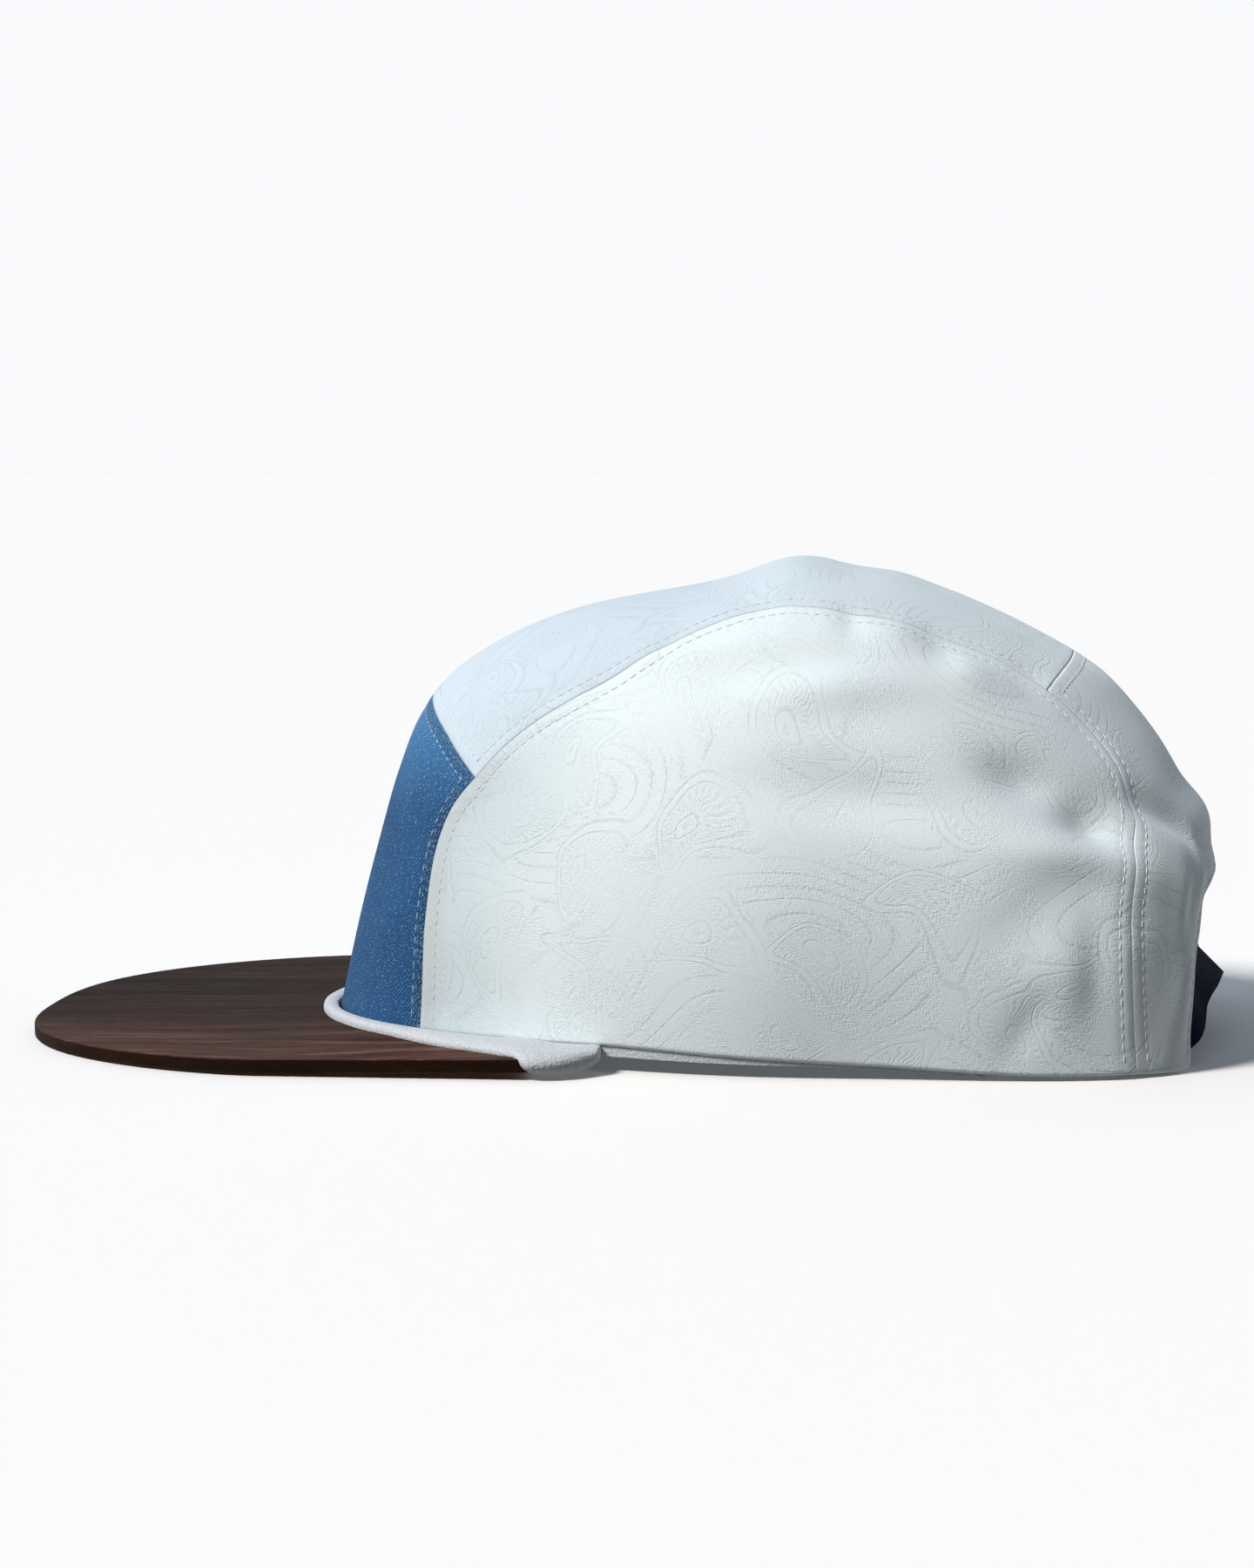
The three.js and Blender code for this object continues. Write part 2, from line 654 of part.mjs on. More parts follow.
// The lower edge of the strap some way across the opening.
function strapFoot(across) {
  return new THREE.Vector3(across, strapColumn("reach", across), strapColumn("lift", across));
}

// The directions in which the strip stands up and faces outwards at one place across.
function strapFrame(across) {
  const nudge = 0.5;
  const along = strapFoot(across + nudge).sub(strapFoot(across - nudge));
  const lean = radians(strapColumn("lean", across));
  const up = new THREE.Vector3(0, -Math.sin(lean), Math.cos(lean));
  const out = up.clone().cross(along).normalize();
  return { up, out };
}

// A point of the strap: across the opening, up along its lean and outwards from its face.
function strapPoint(across, height, stand) {
  const { up, out } = strapFrame(across);
  return strapFoot(across).addScaledVector(up, height).addScaledVector(out, stand);
}

// One plastic strip, from inside its leg to its rounded free end, which may stand off.
function stripGeometry(side, stand, freeEnd, standOff) {
  const stepsAlong = 28;
  const stepsUp = 2;
  const bluntness = 0.08; // keeps the free end's last edge from shrinking to a point
  const pointAt = (s, t, depth) => {
    const across = lerp(strap.halfSpan, freeEnd, s);
    const tip = Math.min(1, (across - freeEnd) / strap.tipLength);
    const tipShare = Math.sqrt(Math.max(1 - (1 - tip) ** 2, bluntness));
    const past = Math.max(0, (-across - strap.freeFrom) / (-freeEnd - strap.freeFrom));
    const up = strapColumn("height", across) * (0.5 + (t - 0.5) * tipShare);
    return strapPoint(side * across, up, stand + standOff * past ** 2 - depth);
  };
  return wallGeometry(pointAt, stepsAlong, stepsUp, [0, strap.thickness]);
}

// A short round bar through the middle of the strap's height, from one stand to another.
function strapBar(across, radius, from, to) {
  const sides = 10;
  const bar = new THREE.CylinderGeometry(radius, radius, to - from, sides);
  bar.translate(0, (from + to) / 2, 0);
  const { out } = strapFrame(across);
  bar.applyQuaternion(new THREE.Quaternion().setFromUnitVectors(new THREE.Vector3(0, 1, 0), out));
  const middle = strapPoint(across, strapColumn("height", across) / 2, 0);
  return bar.translate(middle.x, middle.y, middle.z);
}

// The outer strip lies over the other and has a row of holes.
function holedStrapGeometry() {
  const stand = strap.thickness + strap.layerGap;
  const through = stand + strap.freeStandOff + strap.thickness;
  let body = solidFrom(stripGeometry(1, stand, strap.holedEnd, strap.freeStandOff));
  for (let k = 0; k < strap.holes; k += 1) {
    const across = strap.fastenedFrom + k * strap.pitch;
    body = body.subtract(solidFrom(strapBar(across, strap.holeRadius, -through, through)));
  }
  return geometryFrom(body);
}

// The inner strip carries the pegs, which stand out through the holes.
function peggedStrapGeometry() {
  let body = solidFrom(stripGeometry(-1, 0, strap.peggedEnd, 0));
  for (let k = 0; k < strap.pegs; k += 1) {
    const across = strap.fastenedFrom + k * strap.pitch;
    const peg = strapBar(across, strap.pegRadius, -strap.thickness / 2, strap.pegStand);
    body = body.add(solidFrom(peg));
  }
  return geometryFrom(body);
}

function finish(color, roughness) {
  return new THREE.MeshStandardMaterial({ color, roughness, metalness: 0 });
}

const walnut = finish(0x43332d, 0.55);
const denim = finish(0x3d70a6, 0.85);
const jacquard = finish(0xe6eaea, 0.8);
const bindingCloth = finish(0xe4e6e6, 0.9);
const navyPlastic = finish(0x0b1830, 0.45);

const cap = new THREE.Group();

function addPiece(name, geometry, material) {
  const mesh = new THREE.Mesh(geometry, material);
  mesh.name = name;
  cap.add(mesh);
}

const sideEdges = sidePanelEdges();
addPiece("brim", brimGeometry(), walnut);
addPiece("brim_binding", bindingGeometry(), bindingCloth);
addPiece("front_panel", panelGeometry(frontPanelEdges(), panels.front), denim);
addPiece("side_panel_left", panelGeometry(sideEdges, panels.side), jacquard);
addPiece("side_panel_right", panelGeometry(mirrorEdges(sideEdges), panels.side), jacquard);
addPiece("top_panel", panelGeometry(topPanelEdges(), panels.top), jacquard);
addPiece("back_panel", panelGeometry(backPanelEdges(), panels.back), jacquard);
addPiece("sweatband", sweatbandGeometry(), bindingCloth);
addPiece("snap_strap_left", holedStrapGeometry(), navyPlastic);
addPiece("snap_strap_right", peggedStrapGeometry(), navyPlastic);

export default cap;
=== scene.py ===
import math

import bmesh
import bpy
import numpy as np
from mathutils import Matrix, Vector


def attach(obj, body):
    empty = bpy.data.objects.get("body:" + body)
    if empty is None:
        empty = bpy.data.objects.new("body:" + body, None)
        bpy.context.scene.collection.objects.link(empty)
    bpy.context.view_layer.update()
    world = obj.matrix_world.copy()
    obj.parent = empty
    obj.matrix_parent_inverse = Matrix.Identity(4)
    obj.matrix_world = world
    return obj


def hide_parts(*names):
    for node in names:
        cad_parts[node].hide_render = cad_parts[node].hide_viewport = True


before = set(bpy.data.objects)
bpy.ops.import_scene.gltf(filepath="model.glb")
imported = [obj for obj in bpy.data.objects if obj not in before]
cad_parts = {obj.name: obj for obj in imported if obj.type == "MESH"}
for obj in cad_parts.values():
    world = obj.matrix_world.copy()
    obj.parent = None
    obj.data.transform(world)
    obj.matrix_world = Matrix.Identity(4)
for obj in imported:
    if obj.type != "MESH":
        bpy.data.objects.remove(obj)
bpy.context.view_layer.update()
print("frame loaded")

mm = 0.001  # shapes are worked out in millimetres and written to the meshes in metres


def newObject(name, data):
    made = bpy.data.objects.new(name, data)
    bpy.context.collection.objects.link(made)
    return made


camera = {"place": (955.3, 94.9, 141.9), "target": (0, 0, 51), "lens": 95.04, "shiftUp": 0.01383}


def makeCamera():
    seen = bpy.data.cameras.new("camera")
    seen.lens = camera["lens"]
    seen.sensor_width = 36
    seen.sensor_height = 36
    seen.shift_y = camera["shiftUp"]
    seen.clip_start = 0.01
    holder = newObject("camera", seen)
    place = Vector(camera["place"]) * mm
    aim = Vector(camera["target"]) * mm - place
    holder.location = place
    holder.rotation_euler = aim.to_track_quat("-Z", "Y").to_euler()
    bpy.context.scene.camera = holder


makeCamera()

# Y of its upright axis, thickness of its cloth, and a distance that lies outside it
crown = {"middle": 46, "cloth": 1.6, "outside": 90}
crownInside = (0, crown["middle"], 20)
foldDepth = 30  # how far a fold reaches through the crown

# height, reach forward, reach back, half width, squareness of the front half and of the back half
crownSections = [
    (0, 69, 132.5, 78.5, 2.15, 5),
    (25, 63, 132.4, 79.5, 2.15, 4.4),
    (45, 57.8, 133, 78, 2.1, 3.4),
    (60, 53.6, 126.3, 74.5, 2.05, 2.8),
    (73, 48.4, 117.3, 69.5, 2, 2.45),
    (83, 40.2, 109, 63, 2, 2.25),
    (90.7, 26.7, 97.8, 56.5, 2, 2.1),
    (97.2, 9, 85, 49, 2, 2),
    (101.7, -10, 74, 39, 2, 2),
    (104.8, -28, 62, 25, 2, 2),
    (106.1, -46, 46, 0, 2, 2),
]

# middle of each fold (x, y, z), half length, half width, lean in degrees, rise
crownFolds = [
    (0, 40, 106, 12, 34, 0, 3.9),  # crest and step of the top
    (0, 61, 104, 9, 30, 0, 1),
    (53, 26, 90, 22, 5, 8, 1.3),  # left side, under the top seam
    (47, 54, 95, 6, 3, 80, -0.7),
    (50, 63, 92, 7, 6, 80, 1),
    (50, 74, 89, 7, 4.5, 72, -1),
    (62, 50, 81, 17, 5.5, 5, 2.3),
    (53, 78, 86, 9, 6, -30, 1.6),
    (73, 56, 60, 22, 7, -8, -2.1),  # left side, the hollow behind the middle
    (64, 101, 60, 18, 8, -33, -1.8),  # left side, the deep dent, its steps and its rim
    (66, 92, 64, 9, 5.5, -20, -2.2),
    (64, 108, 55, 8, 6, -15, -3.4),
    (71, 104, 48, 16, 5, -10, 1.6),
    (78, 84, 28, 30, 14, 90, 0.8),  # left side, where it turns to the rear
    (75, 98, 38, 18, 7, 30, -0.9),
    (76, 100, 22, 8, 8, 0, 1.3),  # left side, the knuckle low at the back
    (73, 106, 24, 11, 4, 90, -0.8),
    (77, 93, 12, 10, 4, 62, -0.7),
    (45, 127, 40, 10, 4.5, 50, 2.2),  # back panel, left leg
    (50, 126, 35, 12, 3.5, 55, -2),
    (57, 124, 22, 22, 5, 72, 1.8),
    (0, 133, 51, 34, 7, 0, 2.6),  # back panel, the ledge over the opening
    (8, 134, 40, 26, 4, 0, 1.8),
    (46, 123, 54, 13, 5, -35, -2),
    (-57, 26, 87, 26, 6, -10, -1.6),  # right side
    (-70, 60, 69, 26, 8, 10, -2),
    (-60, 98, 64, 18, 8, 35, -4.5),
    (-68, 104, 50, 15, 5, 12, 2.2),
    (-75, 101, 24, 9, 8, 0, 2),
    (-49, 127, 32, 13, 4, -60, -1.8),
    (0, -69, 0, 80, 7, 0, -2.4),  # foot of the front panel, tucked in
    (0, -62, 40, 80, 60, 0, 1.7),
    (0, -16, 93, 60, 28, 0, 2),
    (0, 120, 70, 45, 17, 0, 1.5),
    (80, 36, 22, 34, 26, 90, 2.4),  # the low ridge where the left side turns to the rear
]

frontSeam = [
    (53.2, -43.5, 5.2), (52, -42.8, 17), (50.1, -42.3, 28), (48, -41.3, 38),
    (46.3, -39.2, 47.5), (46.5, -35.5, 55.5), (48.5, -29.7, 61.8),
]
denimTop = [
    (48.5, -29.7, 61.8), (41.4, -34, 65.9), (33.2, -37.7, 69.9), (17.5, -42.2, 74.6),
    (0, -43.8, 76.5),
]
topSeam = [
    (48.5, -29.7, 61.8), (50.6, -18.2, 72.4), (52.3, -8.3, 78.3), (52.6, 1.4, 83.6),
    (50.6, 10.8, 89.2), (47.4, 20.1, 94.2), (44.6, 29.5, 97.8), (44, 39.1, 99.4),
    (44.8, 48.7, 99.1), (45, 58.3, 97.6), (44.2, 67.9, 95.2), (43.4, 77.4, 91.5),
    (42.6, 87, 87), (43.3, 96.6, 80.9),
]
backSeam = [
    (43.3, 96.6, 80.9), (44.8, 106.1, 72.4), (48.8, 112.8, 64), (54.6, 116.2, 55.3),
    (62, 115.6, 46.6), (67.1, 114.1, 35.8), (69, 113.4, 24.7), (69.1, 113.5, 13.4),
    (68.6, 114, 0.9),
]
crossSeam = [(43.3, 96.6, 80.9), (22, 101, 85), (0, 102.5, 86.6)]
# One line round a side panel, from the hem in front to the hem behind, and its turning rows.
sideSeam = frontSeam + topSeam[1:-1] + backSeam
topCorner = len(frontSeam) - 1
rearCorner = topCorner + len(topSeam) - 1
sideCorner = rearCorner + 3
hemLine = [
    (0, -69, 4.7), (28, -63, 4.8), (53.2, -43.5, 5.2), (67, -20, 5.4), (75, 2, 5.6),
    (78.4, 19, 5), (80, 42, 3.9), (80, 64, 2.8), (77.1, 93.6, 1.1), (68.6, 114, 0.9),
]
hemAtFrontSeam = 2  # row where the side panel's hem starts
arch = {"halfWidth": 56, "height": 41, "squareness": 2.3, "leg": 128, "top": 134, "hem": 0.1}


def lerp(a, b, t):
    return a + (b - a) * t


def unit(vectors):
    return vectors / np.maximum(np.linalg.norm(vectors, axis=-1, keepdims=True), 1e-9)


# Smooth values between a table's rows, at fractional row numbers.
def smoothRows(rows, place):
    rows = np.asarray(rows, float)
    place = np.atleast_1d(np.asarray(place, float))
    index = np.clip(np.floor(place).astype(int), 0, len(rows) - 2)
    t = (place - index)[:, None]
    ends = np.vstack([2 * rows[0] - rows[1], rows, 2 * rows[-1] - rows[-2]])
    a, b, c, d = (ends[index + k] for k in range(4))
    bend = (c - a) * t + (2 * a - 5 * b + 4 * c - d) * t**2 + (3 * b - a - 3 * c + d) * t**3
    return b + 0.5 * bend


# Radius and height of the crown towards some directions, at fractional rows of its sections.
def crownProfile(cosine, sine, level):
    rows = smoothRows(crownSections, level)
    forward = cosine > 0
    reach = np.where(forward, rows[:, 1] + crown["middle"], rows[:, 2] - crown["middle"])
    squareness = np.where(forward, rows[:, 4], rows[:, 5])
    along = np.abs(cosine) / np.maximum(reach, 0.01)
    across = np.abs(sine) / np.maximum(rows[:, 3], 0.01)
    radius = (along**squareness + across**squareness) ** (-1 / squareness)
    return radius, rows[:, 0]


# Rough points moved onto the smooth crown, along their direction from the middle of its base.
def ontoCrown(rough):
    away = np.hypot(rough[:, 0], rough[:, 1] - crown["middle"])
    safe = np.maximum(away, 1e-9)
    sine = rough[:, 0] / safe
    cosine = (crown["middle"] - rough[:, 1]) / safe
    low = np.zeros(len(rough))
    high = np.full(len(rough), len(crownSections) - 1.0)
    for _ in range(28):
        middle = (low + high) / 2
        radius, height = crownProfile(cosine, sine, middle)
        under = height * away < rough[:, 2] * radius
        low = np.where(under, middle, low)
        high = np.where(under, high, middle)
    radius, height = crownProfile(cosine, sine, low)
    return np.stack([radius * sine, crown["middle"] - radius * cosine, height], axis=1)


# The directions that the smooth crown faces at some of its points.
def crownFacing(points):
    outwards = unit(points - np.array([0, crown["middle"], 0]))
    level = np.stack([-outwards[:, 1], outwards[:, 0], np.zeros(len(points))], axis=1)
    level[np.linalg.norm(level, axis=1) < 0.01] = (1, 0, 0)
    level = unit(level)
    upright = np.cross(outwards, level)
    nudge = 0.5
    beside = ontoCrown(points + level * nudge) - points
    above = ontoCrown(points - upright * nudge) - points
    facing = unit(np.cross(above, beside))
    return np.where((facing * outwards).sum(axis=1, keepdims=True) < 0, -facing, facing)


# The middle of each fold, and the directions along it, across it and out of the cloth there.
def foldFrames(folds):
    middles = ontoCrown(folds[:, :3])
    outward = crownFacing(middles)
    level = np.stack([-outward[:, 1], outward[:, 0], np.zeros(len(folds))], axis=1)
    level[np.hypot(outward[:, 0], outward[:, 1]) < 0.3] = (0, 1, 0)
    level = unit(level)
    turn = np.radians(folds[:, 5])[:, None]
    long = level * np.cos(turn) + np.cross(outward, level) * np.sin(turn)
    return middles, long, np.cross(outward, long), outward


allFolds = np.array(crownFolds, float)
allFrames = foldFrames(allFolds)


# How far the folds lift the cloth at points of the smooth crown.
def foldRise(points):
    rise = np.zeros(len(points))
    for fold, middle, long, broad, outward in zip(allFolds, *allFrames):
        offset = points - middle
        along = offset @ long / fold[3]
        across = offset @ broad / fold[4]
        through = offset @ outward / foldDepth
        rise += fold[6] * np.exp(-(along**2) - across**2 - through**2)
    return rise


# The folded cloth's points over rough ones, some depth under its outer face.
def clothPoints(rough, depth=0):
    points = ontoCrown(np.atleast_2d(rough))
    return points + crownFacing(points) * (foldRise(points) - depth)[:, None]


# An edge through some rows, run from 0 to 1 between two of them on a centripetal curve.
def edgeThrough(rows, first=0, last=None):
    rows = np.asarray(rows, float)
    span = len(rows) - 1
    last = span if last is None else last
    ends = np.vstack([2 * rows[0] - rows[1], rows, 2 * rows[-1] - rows[-2]])

    def edge(t):
        place = lerp(first, last, np.atleast_1d(np.asarray(t, float)))
        index = np.clip(np.floor(place).astype(int), 0, span - 1)
        w = (place - index)[:, None]
        a, b, c, d = (ends[index + k] for k in range(4))
        gaps = [np.sqrt(np.linalg.norm(q - p, axis=1))[:, None] for p, q in ((a, b), (b, c), (c, d))]
        before, here, after = gaps
        start = ((b - a) / before - (c - a) / (before + here) + (c - b) / here) * here
        end = ((c - b) / here - (d - b) / (here + after) + (d - c) / after) * here
        square = 3 * (c - b) - 2 * start - end
        cube = 2 * (b - c) + start + end
        return b + start * w + square * w**2 + cube * w**3

    return edge


def mirrored(edge):
    return lambda t: edge(t) * np.array([-1, 1, 1])


# An edge that crosses the middle: a left edge's mirror image, then the left edge itself.
def acrossMiddle(edge):
    def whole(t):
        t = np.atleast_1d(t)
        points = edge(np.abs(2 * t - 1))
        points[t < 0.5, 0] *= -1
        return points

    return whole


def archEdge(t):
    turn = np.pi * np.atleast_1d(t)
    power = 2 / arch["squareness"]
    cosine, sine = np.cos(turn), np.clip(np.sin(turn), 0, 1)
    across = arch["halfWidth"] * np.sign(cosine) * np.abs(cosine) ** power
    up = np.maximum(arch["height"] * sine**power, arch["hem"])
    return np.stack([across, lerp(arch["leg"], arch["top"], sine), up], axis=1)


# The back panel's outer edge: up the left seam, across under the top panel, down the right seam.
def backOuterEdge(t):
    t = np.atleast_1d(np.asarray(t, float))
    half = np.minimum(t, 1 - t)
    share = 16 / 44  # of each side seam
    seam = edgeThrough(sideSeam, rearCorner)(1 - np.minimum(half / share, 1))
    cross = edgeThrough(crossSeam)(np.clip(2 * (half - share) / (1 - 2 * share), 0, 1))
    points = np.where((half < share)[:, None], seam, cross)
    points[t > 0.5, 0] *= -1
    return points


def backLeg(t):
    t = np.atleast_1d(t)[:, None]
    return lerp(archEdge(0), backOuterEdge(0), t)


sideOutline = {
    "lower": edgeThrough(hemLine, hemAtFrontSeam),
    "upper": edgeThrough(sideSeam, topCorner, sideCorner),
    "near": edgeThrough(sideSeam, 0, topCorner),
    "far": edgeThrough(sideSeam, len(sideSeam) - 1, sideCorner),
}
frontOutline = {
    "lower": acrossMiddle(edgeThrough(hemLine, 0, hemAtFrontSeam)),
    "upper": acrossMiddle(edgeThrough(denimTop[::-1])),
    "near": mirrored(edgeThrough(sideSeam, 0, topCorner)),
    "far": edgeThrough(sideSeam, 0, topCorner),
}
topOutline = {
    "lower": acrossMiddle(edgeThrough(denimTop[::-1])),
    "upper": acrossMiddle(edgeThrough(crossSeam[::-1])),
    "near": mirrored(edgeThrough(sideSeam, topCorner, rearCorner)),
    "far": edgeThrough(sideSeam, topCorner, rearCorner),
}
backOutline = {
    "lower": archEdge,
    "upper": backOuterEdge,
    "near": backLeg,
    "far": mirrored(backLeg),
}


# Rough points inside a patch that four edges bound: lower and upper run along, near and far up.
def patchPoints(outline, s, t):
    lower, upper, near, far = (outline[name] for name in ("lower", "upper", "near", "far"))
    s1, t1 = s[:, None], t[:, None]
    points = lower(s) * (1 - t1) + upper(s) * t1 + near(t) * (1 - s1) + far(t) * s1
    points -= lower(0) * (1 - s1) * (1 - t1) + lower(1) * s1 * (1 - t1)
    return points - upper(0) * (1 - s1) * t1 - upper(1) * s1 * t1


# Distance from points to a line of points.
def lineDistance(points, line):
    distance = np.empty(len(points))
    for first in range(0, len(points), 4000):
        part = points[first : first + 4000]
        near = np.argmin(((part[:, None, :] - line[None, :, :]) ** 2).sum(axis=2), axis=1)
        best = np.full(len(part), np.inf)
        for side in (-1, 0):
            a = np.clip(near + side, 0, len(line) - 2)
            step = line[a + 1] - line[a]
            share = ((part - line[a]) * step).sum(axis=1) / (step * step).sum(axis=1)
            share = np.clip(share, 0, 1)
            gap = np.linalg.norm(part - line[a] - step * share[:, None], axis=1)
            best = np.minimum(best, gap)
        distance[first : first + 4000] = best
    return distance


# Smooth random swings between -1 and 1 along a line, the same for the same seed.
def wobble(along, wavelength, seed):
    values = np.random.default_rng(seed).uniform(-1, 1, 400)
    place = np.asarray(along) / wavelength + 3
    index = np.floor(place).astype(int) % 398
    t = place - np.floor(place)
    return lerp(values[index], values[index + 1], t * t * (3 - 2 * t))


def newMesh(name, build):
    mesh = bpy.data.meshes.new(name)
    bm = bmesh.new()
    build(bm)
    bm.to_mesh(mesh)
    bm.free()
    return mesh


# A piece of the cap: its mesh is in place, it rides on the body and may stand for a solid.
def addPiece(name, mesh, material, solid=None):
    piece = newObject(name, mesh)
    mesh.materials.clear()
    mesh.materials.append(material)
    mesh.shade_smooth()
    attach(piece, "root")
    if solid:
        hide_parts(solid)
    return piece


# Gives a piece's cloth or sheet its thickness, inwards.
def thicken(piece, thickness):
    wall = piece.modifiers.new("wall", "SOLIDIFY")
    wall.thickness = thickness * mm
    wall.offset = -1


# Makes a piece's modifiers real.
def settle(piece):
    shaped = piece.evaluated_get(bpy.context.evaluated_depsgraph_get())
    mesh = bpy.data.meshes.new_from_object(shaped)
    piece.modifiers.clear()
    piece.data = mesh
    return mesh


def readPoints(mesh):
    flat = np.empty(3 * len(mesh.vertices))
    mesh.vertices.foreach_get("co", flat)
    return flat.reshape(-1, 3)


def writePoints(mesh, points):
    mesh.vertices.foreach_set("co", (points * mm).ravel())
    mesh.update()


# A square grid for a surface, with s and t of its points and their order along and up.
def gridMesh(name, stepsAlong, stepsUp):
    def build(bm):
        bmesh.ops.create_grid(bm, x_segments=stepsAlong, y_segments=stepsUp, size=0.5)

    mesh = newMesh(name, build)
    flat = readPoints(mesh)
    s = flat[:, 0] + 0.5
    t = flat[:, 1] + 0.5
    order = np.empty((stepsAlong + 1, stepsUp + 1), int)
    order[np.rint(s * stepsAlong).astype(int), np.rint(t * stepsUp).astype(int)] = np.arange(len(s))
    return mesh, s, t, order


# Turns faces over where most of them look inwards.
def faceOut(mesh, inside):
    facing = 0.0
    for polygon in mesh.polygons:
        facing += (polygon.center - Vector(inside) * mm).dot(polygon.normal) * polygon.area
    if facing < 0:
        mesh.flip_normals()


def setFloats(mesh, name, values):
    layer = mesh.attributes.new(name, "FLOAT", "POINT")
    layer.data.foreach_set("value", np.asarray(values, np.float32))


# Nodes: a socket given as an input is linked, anything else is set on it.
def put(tree, kind, inputs=None, **settings):
    made = tree.nodes.new(kind)
    for key, value in settings.items():
        setattr(made, key, value)
    for slot, value in (inputs or {}).items():
        if isinstance(value, bpy.types.NodeSocket):
            tree.links.new(value, made.inputs[slot])
        else:
            made.inputs[slot].default_value = value
    return made.outputs[0]


def calc(tree, operation, a, b=0.0, c=0.0):
    return put(tree, "ShaderNodeMath", {0: a, 1: b, 2: c}, operation=operation)


def times(tree, a, b):
    return calc(tree, "MULTIPLY", a, b)


def plus(tree, a, b):
    return calc(tree, "ADD", a, b)


def less(tree, a, b):
    return calc(tree, "SUBTRACT", a, b)


def larger(tree, a, b):
    return calc(tree, "MAXIMUM", a, b)


def move(tree, operation, a, b):
    return put(tree, "ShaderNodeVectorMath", {0: a, 1: b}, operation=operation)


def stretch(tree, vector, scale):
    return move(tree, "MULTIPLY", vector, scale)


def fade(tree, value, low, high, start=0.0, end=1.0):
    inputs = {0: value, 1: low, 2: high, 3: start, 4: end}
    return put(tree, "ShaderNodeMapRange", inputs, interpolation_type="SMOOTHSTEP")


def mixColors(tree, factor, a, b, blend="MIX"):
    inputs = {0: factor, 6: a, 7: b}
    put(tree, "ShaderNodeMix", inputs, data_type="RGBA", blend_type=blend)
    return tree.nodes[-1].outputs[2]


def noise(tree, vector, scale, detail=2.0, rough=0.5, output=0):
    inputs = {"Vector": vector, "Scale": scale, "Detail": detail, "Roughness": rough}
    return put(tree, "ShaderNodeTexNoise", inputs).node.outputs[output]


def parts(tree, vector):
    return put(tree, "ShaderNodeSeparateXYZ", {0: vector}).node.outputs


def newMaterial(name):
    material = bpy.data.materials.new(name)
    material.use_nodes = True
    tree = material.node_tree
    return material, tree, tree.nodes["Principled BSDF"]


# Points on the cloth in millimetres, from the panel's flat pattern.
def clothPlace(tree):
    return stretch(tree, put(tree, "ShaderNodeUVMap", uv_map="pattern"), (1000, 1000, 1000))


# Points of the object in millimetres.
def solidPlace(tree):
    place = put(tree, "ShaderNodeTexCoord").node.outputs["Object"]
    return stretch(tree, place, (1000, 1000, 1000))


# A value that each point of the mesh carries.
def carried(tree, name):
    return put(tree, "ShaderNodeAttribute", attribute_name=name).node.outputs["Fac"]


def bumpFrom(tree, shader, height, depth, strength=1.0):
    inputs = {"Height": height, "Distance": depth, "Strength": strength}
    tree.links.new(put(tree, "ShaderNodeBump", inputs), shader.inputs["Normal"])


jacquardLook = {
    "ground": (0.795, 0.870, 0.885, 1),
    "line": (0.69, 0.77, 0.78, 1),
    # painted shade right at the front seam
    "seamShade": (0.51, 0.54, 0.54, 1),
    "shaded": (0.74, 0.77, 0.79, 1),  # painted shade beside the front seam
    "crest": (0.75, 0.79, 0.85, 1),  # painted shade and blue skylight on the front of the top panel
    "motif": 25,  # from one drop to the next
    "rims": ((10.6, 0.42), (8.3, 0.3), (3.0, 0.32)),  # a drop's outlines: radius and half width
    "rays": 30,  # hatch marks round a drop
    "relief": 0.00014,
}


# A line of some half width where a value passes a level.
def lineAt(tree, value, level, width):
    away = calc(tree, "ABSOLUTE", less(tree, value, level))
    return fade(tree, away, width * 0.5, width * 1.4, 1.0, 0.0)


# Bent drops with nested outlines and hatch marks, turned at random, one in each cell.
def dropFigure(tree, place):
    look = jacquardLook
    cells = {"Vector": place, "Scale": 1 / look["motif"], "Randomness": 0.65}
    cell = put(tree, "ShaderNodeTexVoronoi", cells, voronoi_dimensions="2D").node
    local = move(tree, "SUBTRACT", place, cell.outputs["Position"])
    angle = times(tree, parts(tree, cell.outputs["Color"])[0], 2 * math.pi)
    turned = {"Vector": local, "Angle": angle}
    x, y, _ = parts(tree, put(tree, "ShaderNodeVectorRotate", turned, rotation_type="Z_AXIS"))
    y = less(tree, y, times(tree, times(tree, x, x), 0.04))
    across = times(tree, y, fade(tree, x, -11.0, 13.0, 0.9, 2.4))
    flat = put(tree, "ShaderNodeCombineXYZ", {0: times(tree, x, 0.8), 1: across, 2: 0.0})
    radius = put(tree, "ShaderNodeVectorMath", {0: flat}, operation="LENGTH").node.outputs[1]
    around = times(tree, calc(tree, "ARCTAN2", across, x), look["rays"])
    ripple = times(tree, calc(tree, "SINE", times(tree, radius, 2.4)), 1.8)
    rays = calc(tree, "SINE", plus(tree, around, ripple))
    hatch = times(tree, fade(tree, rays, -0.1, 0.6), lineAt(tree, radius, 5.8, 1.9))
    dots = times(tree, fade(tree, rays, 0.2, 0.8), lineAt(tree, radius, 12.0, 0.5))
    figure = times(tree, larger(tree, hatch, dots), 0.7)
    for level, width in look["rims"]:
        figure = larger(tree, figure, lineAt(tree, radius, level, width))
    return larger(tree, figure, fade(tree, radius, 0.7, 1.2, 0.8, 0.0)), radius


